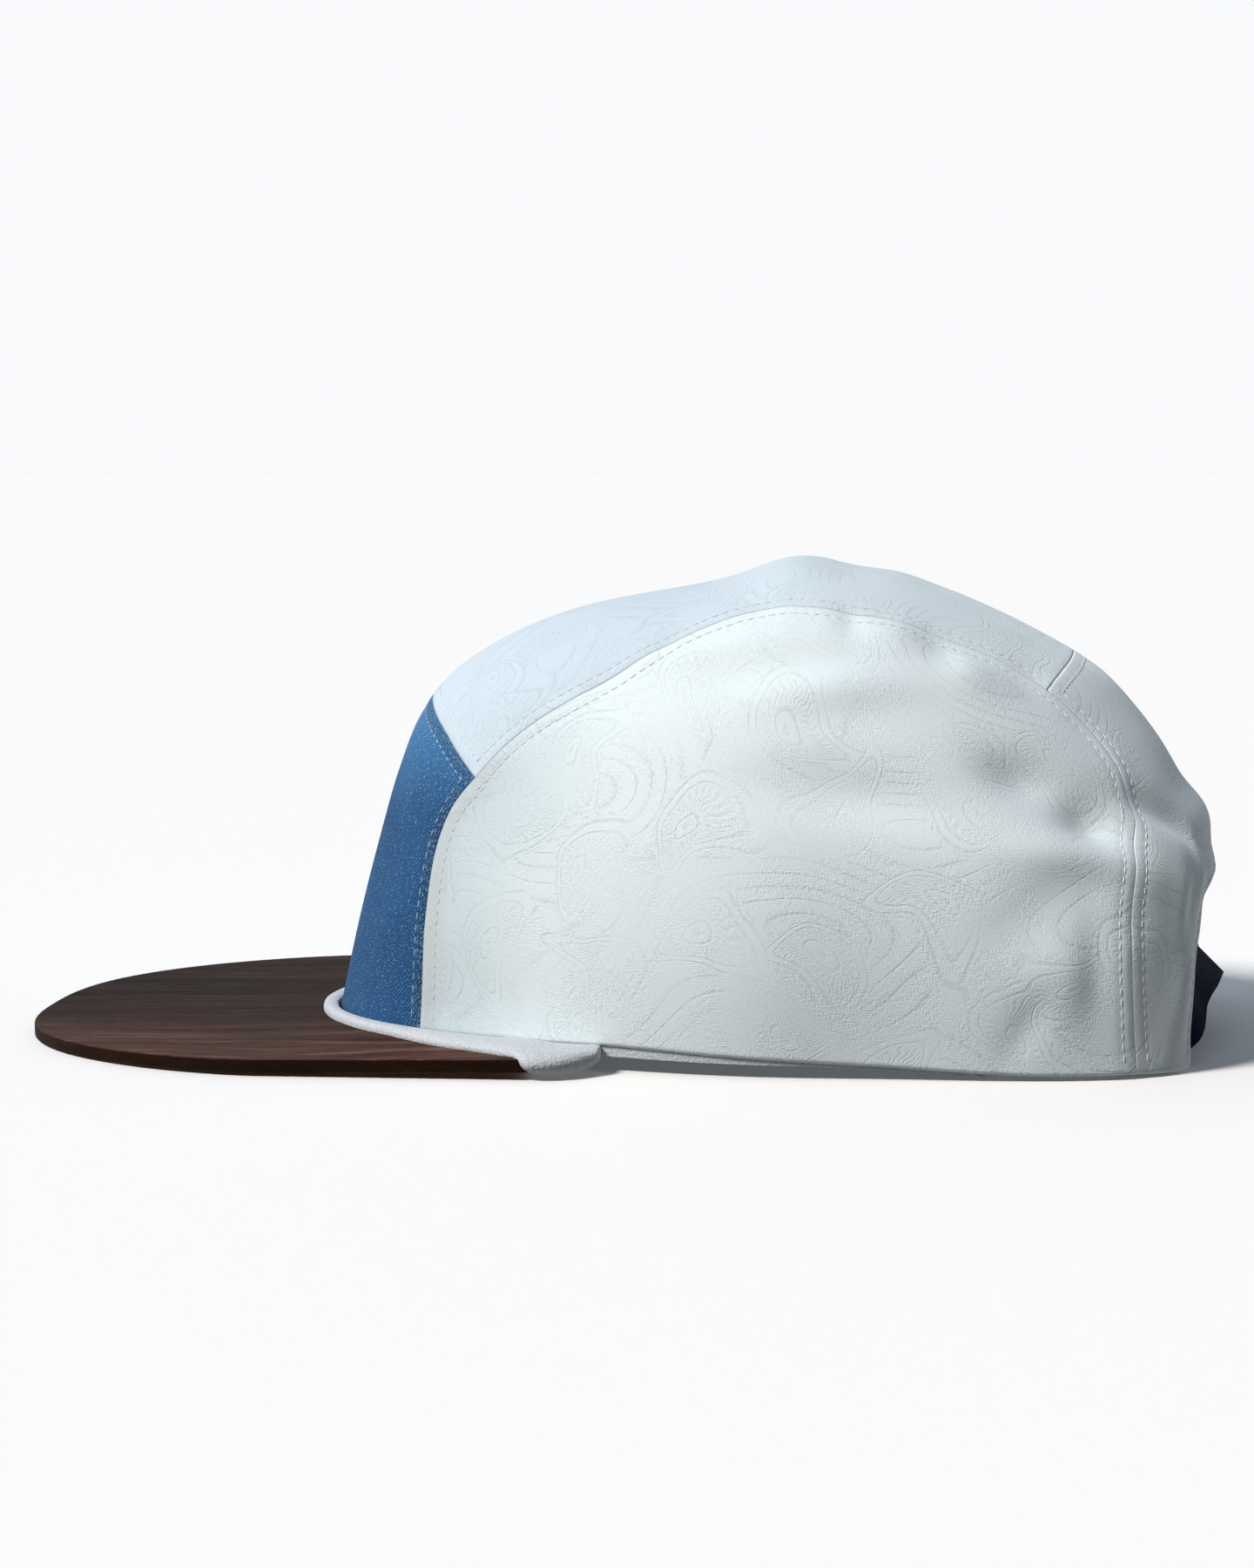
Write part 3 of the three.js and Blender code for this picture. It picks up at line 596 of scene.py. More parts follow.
# Nested wavy lines with short marks between every second pair of them.
def waveFigure(tree, place):
    level = times(tree, noise(tree, stretch(tree, place, (0.6, 1.0, 1.0)), 0.034, 0.0, 0.4), 17.0)
    step = calc(tree, "FRACT", level)
    pair = calc(tree, "FRACT", times(tree, calc(tree, "FLOOR", level), 0.5))
    u, v, _ = parts(tree, place)
    slant = plus(tree, u, times(tree, v, 0.8))
    marks = fade(tree, calc(tree, "SINE", times(tree, slant, 4.6)), 0.0, 0.7)
    marks = times(tree, marks, lineAt(tree, step, 0.5, 0.26))
    marks = times(tree, marks, fade(tree, pair, 0.2, 0.3, 0.7, 0.0))
    return larger(tree, lineAt(tree, step, 0.5, 0.07), marks)


def jacquardMaterial():
    look = jacquardLook
    material, tree, shader = newMaterial("white_jacquard")
    place = clothPlace(tree)
    sway = noise(tree, place, 0.06, 0.6, 0.5, 1)
    sway = stretch(tree, move(tree, "SUBTRACT", sway, (0.5, 0.5, 0.5)), (11, 11, 0))
    drop, radius = dropFigure(tree, move(tree, "ADD", place, sway))
    waves = times(tree, waveFigure(tree, place), fade(tree, radius, 12.4, 13.2))
    figure = larger(tree, drop, waves)
    worn = fade(tree, noise(tree, place, 0.045, 2.0), 0.36, 0.62, 0.15, 1.0)
    figure = times(tree, figure, worn)
    broken = fade(tree, noise(tree, place, 0.9, 1.0), 0.3, 0.6, 0.35, 1.0)
    figure = times(tree, figure, broken)
    dashes = noise(tree, stretch(tree, place, (0.8, 3.0, 1.0)), 1.0, 1.0, 0.6)
    rungs = noise(tree, stretch(tree, place, (3.0, 0.8, 1.0)), 1.0, 1.0, 0.6)
    speckle = noise(tree, place, 2.6, 2.0, 0.6)
    strong = fade(tree, noise(tree, place, 0.08, 1.0), 0.4, 0.62, 0.25, 1.1)
    crepe = less(tree, plus(tree, dashes, rungs), 1.0)
    crepe = times(tree, crepe, strong)
    crepe = plus(tree, crepe, times(tree, speckle, 0.6))
    height = less(tree, times(tree, crepe, 0.7), times(tree, figure, 0.4))
    bumpFrom(tree, shader, height, look["relief"])
    color = mixColors(tree, figure, look["ground"], look["line"])
    speck = fade(tree, crepe, 0.0, 0.6, 0.94, 1.03)
    color = mixColors(tree, 1.0, color, speck, "MULTIPLY")
    # Painted shade: the side panel is darkened for up to 40 mm beside the front seam, where it turns
    # from the light.
    frontSeamShade = carried(tree, "frontSeam")
    shaded = mixColors(tree, fade(tree, frontSeamShade, 4.0, 40.0, 1.0, 0.0), (1, 1, 1, 1), look["shaded"])
    color = mixColors(tree, 1.0, color, shaded, "MULTIPLY")
    # Painted shade: a darker strip is painted right at the front seam.
    frontSeamShade = fade(tree, frontSeamShade, 2.0, 9.0, 0.6, 0.0)
    color = mixColors(tree, frontSeamShade, color, mixColors(tree, 1.0, look["seamShade"], speck, "MULTIPLY"))
    # Painted shade and blue skylight: the front of the top panel is tinted darker and bluer.
    crest = carried(tree, "crest")
    color = mixColors(tree, crest, color, mixColors(tree, 1.0, look["crest"], color, "MULTIPLY"))
    tree.links.new(color, shader.inputs["Base Color"])
    tree.links.new(fade(tree, figure, 0.0, 1.0, 0.66, 0.82), shader.inputs["Roughness"])
    shader.inputs["Sheen Weight"].default_value = 0.1
    shader.inputs["Sheen Roughness"].default_value = 0.5
    shader.inputs["Specular IOR Level"].default_value = 0.3
    return material


denimLook = {
    "deep": (0.003, 0.040, 0.125, 1),
    "light": (0.028, 0.125, 0.290, 1),
    "fleck": (0.29, 0.48, 0.68, 1),
    "twill": 0.85,  # from one diagonal rib to the next
    "relief": 0.00016,
    "band": 3.0,  # width of the strip beside a seam that is painted darker as shade and carries slanted pale streaks
    "worn": (48, 78),  # heights between which the cloth grows paler: painted light on its upper part, which faces the light, and more pale flecks of wear
}


def denimMaterial():
    look = denimLook
    material, tree, shader = newMaterial("denim")
    place = clothPlace(tree)
    sway = noise(tree, place, 0.6, 1.0, 0.5, 1)
    sway = stretch(tree, move(tree, "SUBTRACT", sway, (0.5, 0.5, 0.5)), (0.5, 0.5, 0))
    u, v, _ = parts(tree, move(tree, "ADD", place, sway))
    diagonal = less(tree, times(tree, u, 0.8), times(tree, v, 0.6))
    along = plus(tree, times(tree, u, 0.6), times(tree, v, 0.8))
    rib = calc(tree, "SINE", times(tree, diagonal, 2 * math.pi / look["twill"]))
    rib = fade(tree, rib, -1.0, 1.0)
    # Short pale dashes of the undyed yarn: fine level ones all over, slanted ones beside the seams.
    level = noise(tree, stretch(tree, place, (0.8, 4.2, 1.0)), 1.0, 1.0, 0.6)
    slub = {0: times(tree, diagonal, 2.6), 1: times(tree, along, 1.0), 2: 0.0}
    slanted = noise(tree, put(tree, "ShaderNodeCombineXYZ", slub), 1.0, 2.0, 0.6)
    seam = carried(tree, "seam")
    beside = fade(tree, seam, look["band"] - 0.4, look["band"] + 0.1, 1.0, 0.0)
    height = parts(tree, put(tree, "ShaderNodeTexCoord").node.outputs["Object"])[2]
    # Painted light: the cloth is painted paler towards its top, which faces the light; the pale
    # flecks also grow there, as wear.
    worn = fade(tree, height, look["worn"][0] * mm, look["worn"][1] * mm)
    start = less(tree, 0.585, times(tree, worn, 0.05))
    fleck = times(tree, less(tree, level, start), 7.0)
    fleck = times(tree, fade(tree, fleck, 0.0, 1.0), fade(tree, beside, 0.0, 1.0, 0.75, 0.2))
    streaks = times(tree, fade(tree, slanted, 0.52, 0.62), beside)
    fleck = larger(tree, fleck, times(tree, streaks, 0.75))
    yarn = noise(tree, stretch(tree, place, (1.6, 0.09, 1.0)), 1.0, 2.0)
    tone = fade(tree, noise(tree, place, 0.04, 3.0), 0.3, 0.7, -0.12, 0.12)
    share = plus(tree, times(tree, rib, 0.4), times(tree, yarn, 0.6))
    share = plus(tree, plus(tree, share, tone), times(tree, worn, 1.25))
    color = mixColors(tree, share, look["deep"], look["light"])
    tree.nodes[-1].clamp_factor = False  # its palest parts go past the light tone
    color = mixColors(tree, fleck, color, look["fleck"])
    # Painted shade: the strip beside a seam is darkened as if it lay in shade.
    color = mixColors(tree, 1.0, color, fade(tree, beside, 0.0, 1.0, 1.0, 0.72), "MULTIPLY")
    tree.links.new(color, shader.inputs["Base Color"])
    grain = noise(tree, place, 2.2, 2.0, 0.6)
    bump = plus(tree, times(tree, rib, 0.7), times(tree, grain, 1.2))
    bumpFrom(tree, shader, plus(tree, bump, times(tree, fleck, 0.5)), look["relief"])
    shader.inputs["Roughness"].default_value = 0.85
    shader.inputs["Sheen Weight"].default_value = 0.05
    shader.inputs["Specular IOR Level"].default_value = 0.15
    return material


walnutLook = {
    "dark": (0.014, 0.007, 0.005, 1),
    "mid": (0.042, 0.0185, 0.0125, 1),
    "pale": (0.105, 0.060, 0.042, 1),
    "edge": (0.011, 0.0045, 0.002, 1),
    "pore": 0.00005,
}

brim = {
    "thickness": 2.9,
    "side": 87,
    "tip": -136.5,
    "roundFrom": -72,
    "rearCorner": -16,
    "earReach": 15,
    "squareAcross": 2.63,
    "squareAlong": 1.57,
    "pitch": 0.014,
    "underCrown": 5,
    "rearTurn": 56,
    "edgeRound": 0.35,
}


# Grain that runs from front to back: broad figure, narrow streaks and short dark pores.
def walnutMaterial():
    look = walnutLook
    material, tree, shader = newMaterial("walnut")
    place = solidPlace(tree)
    x, y, z = parts(tree, place)
    sway = noise(tree, stretch(tree, place, (0.02, 0.009, 0.02)), 1.0, 2.0, 0.5)
    bent = plus(tree, x, times(tree, sway, 30.0))
    board = put(tree, "ShaderNodeCombineXYZ", {0: bent, 1: times(tree, y, 0.035), 2: z})
    bands = noise(tree, stretch(tree, board, (0.13, 0.4, 0.13)), 1.0, 3.0, 0.6)
    streaks = noise(tree, stretch(tree, board, (0.75, 0.8, 0.75)), 1.0, 3.0, 0.6)
    fibre = noise(tree, stretch(tree, board, (3.0, 2.4, 3.0)), 1.0, 3.0, 0.65)
    line = put(tree, "ShaderNodeCombineXYZ", {0: x, 1: times(tree, y, 0.09), 2: z})
    pores = fade(tree, noise(tree, stretch(tree, line, (3.2, 3.2, 3.2)), 1.0, 2.0, 0.6), 0.56, 0.66)
    share = plus(tree, times(tree, bands, 0.8), times(tree, streaks, 0.6))
    share = plus(tree, share, times(tree, fibre, 0.35))
    color = mixColors(tree, fade(tree, share, 0.66, 0.90), look["dark"], look["mid"])
    color = mixColors(tree, fade(tree, share, 0.88, 1.12), color, look["pale"])
    color = mixColors(tree, times(tree, pores, 0.75), color, look["dark"])
    # Painted light and shade: the board is painted lighter towards its left side, where the light
    # falls, and darker towards its right.
    litSide = fade(tree, x, -5.0, 84.0, 0.53, 1.95)
    color = mixColors(tree, 1.0, color, litSide, "MULTIPLY")
    height = carried(tree, "edgeHeight")
    onEdge = times(tree, fade(tree, height, 0.02, 0.08), fade(tree, height, 0.9, 0.97, 1.0, 0.0))
    layers = fade(tree, noise(tree, stretch(tree, place, (0.02, 0.02, 2.6)), 1.0, 1.0, 0.5), 0.4, 0.6)
    edge = mixColors(tree, times(tree, layers, 0.5), look["edge"], look["dark"])
    color = mixColors(tree, times(tree, onEdge, 0.9), color, edge)
    tree.links.new(color, shader.inputs["Base Color"])
    bump = plus(tree, times(tree, pores, -1.0), times(tree, fibre, 0.8))
    bumpFrom(tree, shader, bump, look["pore"])
    tree.links.new(fade(tree, fibre, 0.3, 0.7, 0.55, 0.7), shader.inputs["Roughness"])
    shader.inputs["Specular IOR Level"].default_value = 0.03
    return material


bindingLook = {
    "light": (0.64, 0.67, 0.70, 1),
    "dark": (0.53, 0.555, 0.58, 1),
    "relief": 0.00008,
}


def bindingMaterial():
    look = bindingLook
    material, tree, shader = newMaterial("binding_cloth")
    place = solidPlace(tree)
    cells = {"Vector": place, "Scale": 1.5, "Randomness": 0.8}
    loops = put(tree, "ShaderNodeTexVoronoi", cells)
    fuzz = noise(tree, place, 3.0, 3.0, 0.7)
    shade = plus(tree, fade(tree, loops, 0.15, 0.75, 1.0, 0.0), times(tree, fuzz, 0.5))
    color = mixColors(tree, fade(tree, shade, 0.3, 1.1), look["dark"], look["light"])
    tree.links.new(color, shader.inputs["Base Color"])
    bumpFrom(tree, shader, shade, look["relief"])
    shader.inputs["Roughness"].default_value = 0.9
    shader.inputs["Sheen Weight"].default_value = 0.25
    shader.inputs["Specular IOR Level"].default_value = 0.25
    return material


plasticLook = {"color": (0.002, 0.008, 0.027, 1), "grain": 0.00003}


def plasticMaterial():
    material, tree, shader = newMaterial("navy_plastic")
    place = solidPlace(tree)
    grain = noise(tree, place, 1.8, 3.0, 0.6)
    tint = fade(tree, noise(tree, place, 0.06, 2.0), 0.3, 0.7, 0.8, 1.2)
    color = mixColors(tree, 1.0, plasticLook["color"], tint, "MULTIPLY")
    tree.links.new(color, shader.inputs["Base Color"])
    tree.links.new(fade(tree, grain, 0.3, 0.7, 0.5, 0.62), shader.inputs["Roughness"])
    bumpFrom(tree, shader, grain, plasticLook["grain"])
    shader.inputs["Specular IOR Level"].default_value = 0.005
    return material


def threadMaterial(name, light, dark):
    material, tree, shader = newMaterial(name)
    place = solidPlace(tree)
    twist = noise(tree, place, 2.6, 2.0, 0.6)
    color = mixColors(tree, fade(tree, twist, 0.3, 0.7), dark, light)
    tree.links.new(color, shader.inputs["Base Color"])
    bumpFrom(tree, shader, twist, 0.0001)
    shader.inputs["Roughness"].default_value = 0.6
    shader.inputs["Sheen Weight"].default_value = 0.2
    return material


jacquard = jacquardMaterial()
denim = denimMaterial()
walnut = walnutMaterial()
bindingCloth = bindingMaterial()
navyPlastic = plasticMaterial()
whiteThread = threadMaterial("white_thread", (0.80, 0.85, 0.86, 1), (0.68, 0.72, 0.72, 1))
denimThread = threadMaterial("denim_thread", (0.40, 0.53, 0.66, 1), (0.17, 0.29, 0.44, 1))
print("finishes made")


# Flattens a panel into its pattern: the UV map keeps angles, is in metres and stands upright.
def layPattern(panel, upright):
    mesh = panel.data
    mesh.uv_layers.new(name="pattern")
    bpy.context.view_layer.objects.active = panel
    panel.select_set(True)
    bpy.ops.object.mode_set(mode="EDIT")
    bpy.ops.mesh.select_all(action="SELECT")
    bpy.ops.uv.unwrap(method="CONFORMAL", margin=0)
    bpy.ops.object.mode_set(mode="OBJECT")
    panel.select_set(False)
    layer = mesh.uv_layers["pattern"]
    flat = np.empty(2 * len(mesh.loops))
    layer.data.foreach_get("uv", flat)
    flat = flat.reshape(-1, 2)
    corners = np.empty(len(mesh.loops), int)
    mesh.loops.foreach_get("vertex_index", corners)
    goal = upright[corners] * mm
    flat -= flat.mean(axis=0)
    goal = goal - goal.mean(axis=0)
    left, stretchBy, right = np.linalg.svd(flat.T @ goal)
    turn = left @ right
    quads = flat.reshape(-1, 4, 2)
    one, two = quads[:, 2] - quads[:, 0], quads[:, 3] - quads[:, 1]
    flatArea = np.abs(one[:, 0] * two[:, 1] - one[:, 1] * two[:, 0]).sum() / 2
    area = sum(polygon.area for polygon in mesh.polygons)
    flat = flat @ turn * math.sqrt(area / flatArea)
    layer.data.foreach_set("uv", flat.ravel())


sewing = {
    "gap": 0.02,  # left between two panels' edges
    "rollReach": 0.7,  # how far from a seam the cloth starts to turn in
    "rollDepth": 0.09,
    "hemReach": 0.9,
    "hemDepth": 0.7,
    "padRise": 0.08,  # of the folded allowance between a seam and its stitches
    "rowPull": 0.13,  # how deep the stitches pull the cloth in
    "rowWidth": 0.75,
    "puckerReach": 7,
    "cornerReach": 6,  # how far from a panel's corner its seams are flat
    "pucker": 6.5,  # length of the puckers
    "pressedReach": 14,  # how far from the cross seam the sewing is pressed flat
    "rimSteps": 6,  # rows of points close beside a seam, and how far they reach
    "rimReach": 3.0,
}

# Each panel: its outline, its size, the spacing of its points, and for each edge how it is sewn:
# distance of the stitches, height of the puckers and kind of stitch.
sidePanel = {
    "along": 190,
    "up": 80,
    "spacing": 0.9,
    "edges": {
        "near": (4, 0.12, "front"),
        "upper": (3, 0.24, "crown"),
        "far": (3, 0.28, "crown"),
    },
}
panelSet = {
    "front_panel": {
        "outline": frontOutline,
        "along": 130,
        "up": 75,
        "spacing": 1.0,
        "edges": {edge: (3, 0.12, "denim") for edge in ("upper", "near", "far")},
    },
    "side_panel_left": {**sidePanel, "outline": sideOutline},
    "side_panel_right": {
        **sidePanel,
        "outline": {name: mirrored(edge) for name, edge in sideOutline.items()},
    },
    "top_panel": {
        "outline": topOutline,
        "along": 95,
        "up": 165,
        "spacing": 0.9,
        "edges": {
            "lower": (3, 0.12, "crown"),
            "upper": (3, 0.24, None),
            "near": (3, 0.24, "crown"),
            "far": (3, 0.24, "crown"),
        },
    },
    "back_panel": {
        "outline": backOutline,
        "along": 235,
        "up": 42,
        "spacing": 0.8,
        "edges": {"upper": (3, 0.28, "crown"), "lower": (2.6, 0.35, "edge")},
    },
}


# Spreads a grid's shares so that its first and last few steps are short, beside the seams.
def denseEnds(share, steps, size):
    rim, reach = sewing["rimSteps"], sewing["rimReach"] / size
    return np.interp(share * steps, [0, rim, steps - rim, steps], [0, reach, 1 - reach, 1])


evening = {"turns": 1200, "push": 1.93}  # rounds of spreading, and how far each goes past the mean


# Spreads a grid's inner points evenly between its edges, so that none lie folded where two edges
# meet almost in line. It works on their directions; the gaps between columns and rows are given.
def evenGrid(points, order, columns, rows):
    x, y, z = (points - np.array([0, crown["middle"], 0])).T
    grid = np.stack([np.arctan2(x, -y), np.arctan2(z, np.hypot(x, y))], axis=1)[order]
    weights = []
    for gaps in (columns, rows):
        whole = gaps[:-1] + gaps[1:]
        weights.append((2 / (gaps[:-1] * whole), 2 / (gaps[1:] * whole)))
    before, after = (weight[:, None, None] for weight in weights[0])
    under, over = (weight[None, :, None] for weight in weights[1])
    total = before + after + under + over
    inner = [np.arange(1, size - 1) for size in order.shape]
    odd = (np.add.outer(*inner) % 2)[..., None]
    for turn in range(evening["turns"]):
        middle = before * grid[:-2, 1:-1] + after * grid[2:, 1:-1]
        middle = (middle + under * grid[1:-1, :-2] + over * grid[1:-1, 2:]) / total
        grid[1:-1, 1:-1] += (odd == turn % 2) * evening["push"] * (middle - grid[1:-1, 1:-1])
    around, lift = grid[..., 0], grid[..., 1]
    away = crown["outside"]
    level, up = away * np.cos(lift), away * np.sin(lift)
    even = [level * np.sin(around), crown["middle"] - level * np.cos(around), up]
    points[order.ravel()] = np.stack(even, axis=2).reshape(-1, 3)
    return points


crestReach = 90  # distance from the cross seam at which the top panel's painted shade and blue skylight are full


def makePanel(name, look):
    stepsAlong = round(look["along"] / look["spacing"]) + 8
    stepsUp = round(look["up"] / look["spacing"]) + 8
    mesh, s, t, order = gridMesh(name, stepsAlong, stepsUp)
    s = denseEnds(s, stepsAlong, look["along"])
    t = denseEnds(t, stepsUp, look["up"])
    marginAlong = sewing["gap"] / 2 / look["along"]
    marginUp = sewing["gap"] / 2 / look["up"]
    s = lerp(marginAlong, 1 - marginAlong, s)
    t = lerp(marginUp, 1 - marginUp, t)
    base = patchPoints(look["outline"], s, t)
    if name.startswith("side"):
        columns = np.diff(s[order[:, 0]]) * look["along"]
        rows = np.diff(t[order[0]]) * look["up"]
        base = evenGrid(base, order, columns, rows)
    base = ontoCrown(base)
    facing = crownFacing(base)
    points = base + facing * foldRise(base)[:, None]
    sample = np.linspace(0, 1, 500)
    swing = sum(wobble(base[:, i] + 200, sewing["pucker"], i) for i in range(3))
    rise = np.zeros(len(points))
    distances = {}
    for edge in ("lower", "upper", "near", "far"):
        line = clothPoints(look["outline"][edge](sample))
        distance = lineDistance(points, line)
        distances[edge] = distance
        if edge in look["edges"]:
            spread = np.exp(-((distance / sewing["puckerReach"]) ** 2))
            rise += look["edges"][edge][1] * swing * spread
        else:
            turn = np.clip(1 - distance / sewing["hemReach"], 0, 1)
            rise -= sewing["hemDepth"] * (1 - np.sqrt(1 - turn**2))
    sewn = list(look["edges"])
    nearest = np.argmin([distances[edge] for edge in sewn], axis=0)
    row = np.array([look["edges"][edge][0] for edge in sewn])[nearest]
    seam = np.min([distances[edge] for edge in sewn], axis=0)
    turn = np.clip(1 - seam / sewing["rollReach"], 0, 1)
    sunk = sewing["rollDepth"] * turn**2
    sunk -= sewing["padRise"] * np.exp(-(((seam - row * 0.55) / (row * 0.45)) ** 2))
    sunk += sewing["rowPull"] * np.exp(-(((seam - row) / sewing["rowWidth"]) ** 2))
    corner = np.sort(list(distances.values()), axis=0)[1]
    sunk *= np.clip(corner / sewing["cornerReach"], 0, 1) ** 2  # flat where seams meet
    pressed = lineDistance(points, clothPoints(topOutline["upper"](sample)))
    rise -= sunk * np.clip(pressed / sewing["pressedReach"], 0.3, 1)
    points = points + facing * rise[:, None]
    writePoints(mesh, points)
    faceOut(mesh, crownInside)
    setFloats(mesh, "seam", seam)
    beyond = np.full(len(points), crown["outside"])  # past the reach of the painted shade that reads it
    front = distances["near"] if name.startswith("side") else beyond
    setFloats(mesh, "frontSeam", front)
    fading = np.clip(distances["upper"] / crestReach, 0, 1)
    crest = fading if name == "top_panel" else np.zeros(len(points))
    setFloats(mesh, "crest", crest)
    material = denim if name == "front_panel" else jacquard
    panel = addPiece(name + "_cloth", mesh, material, name)
    axes = (1, 2) if name.startswith("side") else (0, 1) if name == "top_panel" else (0, 2)
    layPattern(panel, points[:, axes])
    thicken(panel, crown["cloth"])
    grid = points[order]
    normals = unit(np.cross(np.gradient(grid, axis=0), np.gradient(grid, axis=1)))
    normals *= np.sign((normals * facing[order]).sum(axis=2).mean())
    fields = {edge: distances[edge][order] for edge in distances}
    return {"points": grid, "normals": normals, "distances": fields}


panels = {name: makePanel(name, look) for name, look in panelSet.items()}
print("panels sewn")


# The line on a panel at one distance from an edge, as points and normals.
def rowOnPanel(panel, edge, distance, clear=2.2):
    sideways = edge in ("near", "far")
    backwards = edge in ("upper", "far")
    fields = {}
    for name, values in (("points", panel["points"]), ("normals", panel["normals"])):
        fields[name] = np.swapaxes(values, 0, 1) if sideways else values
    away = panel["distances"][edge]
    others = [panel["distances"][name] for name in panel["distances"]]
    nearest = np.min([field for field in others if field is not away], axis=0)
    away = away.T if sideways else away
    nearest = nearest.T if sideways else nearest
    if backwards:
        fields = {name: values[:, ::-1] for name, values in fields.items()}
        away = away[:, ::-1]
        nearest = nearest[:, ::-1]
    line, normals = [], []
    for k in range(len(away)):
        past = int(np.argmax(away[k] >= distance))
        if past == 0 or nearest[k, past] < clear:
            continue
        low, high = away[k, past - 1], away[k, past]
        share = (distance - low) / (high - low)
        line.append(lerp(fields["points"][k, past - 1], fields["points"][k, past], share))
        normals.append(fields["normals"][k, past])
    return np.array(line), np.array(normals)


acrossBead = Matrix.Rotation(math.pi / 2, 4, "Y")  # lays the bead's poles along the seam


# Adds one seam's stitches to a mesh, as small drawn-out beads lying on the cloth.
def sewLine(bm, line, normals, pitch, length, radius, stand=0.05):
    steps = np.linalg.norm(np.diff(line, axis=0), axis=1)
    lengths = np.concatenate([[0], np.cumsum(steps)])
    count = int(lengths[-1] / pitch)
    for k in range(count):
        here = (k + 0.5) * lengths[-1] / count
        ends = [here - length / 2, here, here + length / 2]
        a, middle, b = (np.array([np.interp(x, lengths, line[:, i]) for i in range(3)]) for x in ends)
        normal = unit(np.array([np.interp(here, lengths, normals[:, i]) for i in range(3)]))
        along = unit(b - a)
        side = unit(np.cross(normal, along))
        normal = np.cross(along, side)
        turn = Matrix(np.stack([along, side, normal], axis=1).tolist()).to_4x4()
        spot = Matrix.Translation(Vector((middle + normal * stand) * mm))
        size = Matrix.Diagonal((length / 2 * mm, radius * mm, radius * 0.8 * mm, 1))
        bmesh.ops.create_uvsphere(
            bm, u_segments=6, v_segments=4, radius=1, matrix=spot @ turn @ size @ acrossBead
        )


stitchSet = {
    "denim": {"pitch": 2.7, "length": 1.9, "radius": 0.2},
    "front": {"pitch": 2.3, "length": 1.6, "radius": 0.17},
    "crown": {"pitch": 2.4, "length": 1.7, "radius": 0.16},
    "edge": {"pitch": 2.6, "length": 1.8, "radius": 0.18},
}


# Each row of some panels is sewn in a mesh of its own and then joined to the others.
def sewPanels(panelNames):
    def build(bm):
        for panelName in panelNames:
            for edge, (distance, _, kind) in panelSet[panelName]["edges"].items():
                if kind is None:
                    continue
                line, normals = rowOnPanel(panels[panelName], edge, distance)
                look = stitchSet[kind]
                size = (look["pitch"], look["length"], look["radius"])
                row = newMesh("row", lambda part: sewLine(part, line, normals, *size))
                bm.from_mesh(row)
                bpy.data.meshes.remove(row)

    return build


def addStitches(name, panelNames, thread):
    addPiece(name, newMesh(name, sewPanels(panelNames)), thread)


addStitches("denim_stitches", ["front_panel"], denimThread)
addStitches("crown_stitches", list(panelSet)[1:], whiteThread)
print("seams stitched")


def brimUnderside(y):
    return (y - brim["tip"]) * math.tan(brim["pitch"])


# The crown's foot at some turns round from the front, moved level outwards by some distance.
def hemOffset(turns, distance):
    turns = np.atleast_1d(turns)
    away = crown["outside"]
    across, along = away * np.sin(turns), crown["middle"] - away * np.cos(turns)
    points = ontoCrown(np.stack([across, along, np.full(len(turns), 3.0)], axis=1))
    outward = crownFacing(points) * np.array([1, 1, 0])
    return points + unit(outward) * distance


# The brim's plan, as points all round from the middle of its tip.
def brimPlan():
    turn = np.linspace(np.pi / 2, 0, 160)
    across = brim["side"] * np.cos(turn) ** (2 / brim["squareAcross"])
    along = (brim["roundFrom"] - brim["tip"]) * np.sin(turn) ** (2 / brim["squareAlong"])
    half = [np.stack([across, brim["roundFrom"] - along], axis=1)]
    turn = np.linspace(0, np.pi / 2, 40)
    reach = brim["earReach"]
    across = brim["side"] - reach * (1 - np.cos(turn))
    half.append(np.stack([across, brim["rearCorner"] + reach * np.sin(turn)], axis=1))
    turn = np.radians(np.linspace(brim["rearTurn"], 0, 60))
    half.append(hemOffset(turn, -brim["underCrown"])[:, :2])
    half = np.vstack(half)
    plan = np.vstack([half, half[::-1] * np.array([-1, 1])])
    lengths = np.concatenate([[0], np.cumsum(np.linalg.norm(np.diff(plan, axis=0), axis=1))])
    even = np.linspace(0, lengths[-1], 361)[:-1]
    return np.stack([np.interp(even, lengths, plan[:, i]) for i in range(2)], axis=1)


def buildBrim(bm):
    plan = brimPlan()
    rim = bmesh.ops.create_circle(bm, cap_ends=True, radius=1, segments=len(plan))["verts"]
    for vertex, (x, y) in zip(rim, plan):
        vertex.co = Vector((x, y, 0)) * mm
    raised = bmesh.ops.extrude_face_region(bm, geom=bm.faces[:])["geom"]
    lifted = [part for part in raised if isinstance(part, bmesh.types.BMVert)]
    bmesh.ops.translate(bm, verts=lifted, vec=(0, 0, brim["thickness"] * mm))
    bmesh.ops.recalc_face_normals(bm, faces=bm.faces[:])
    edges = [
        edge for edge in bm.edges
        if abs(edge.verts[0].co.z - edge.verts[1].co.z) < 1e-6 and edge.calc_face_angle(0) > 1
    ]
    bmesh.ops.bevel(
        bm, geom=edges, offset=brim["edgeRound"] * mm, segments=3, profile=0.5, affect="EDGES",
        material=-1,
    )
    layer = bm.verts.layers.float.new("edgeHeight")
    for vertex in bm.verts:
        vertex[layer] = vertex.co.z / mm / brim["thickness"]
    tip = Vector((0, brim["tip"], 0)) * mm
    bmesh.ops.rotate(bm, cent=tip, matrix=Matrix.Rotation(brim["pitch"], 3, "X"), verts=bm.verts[:])


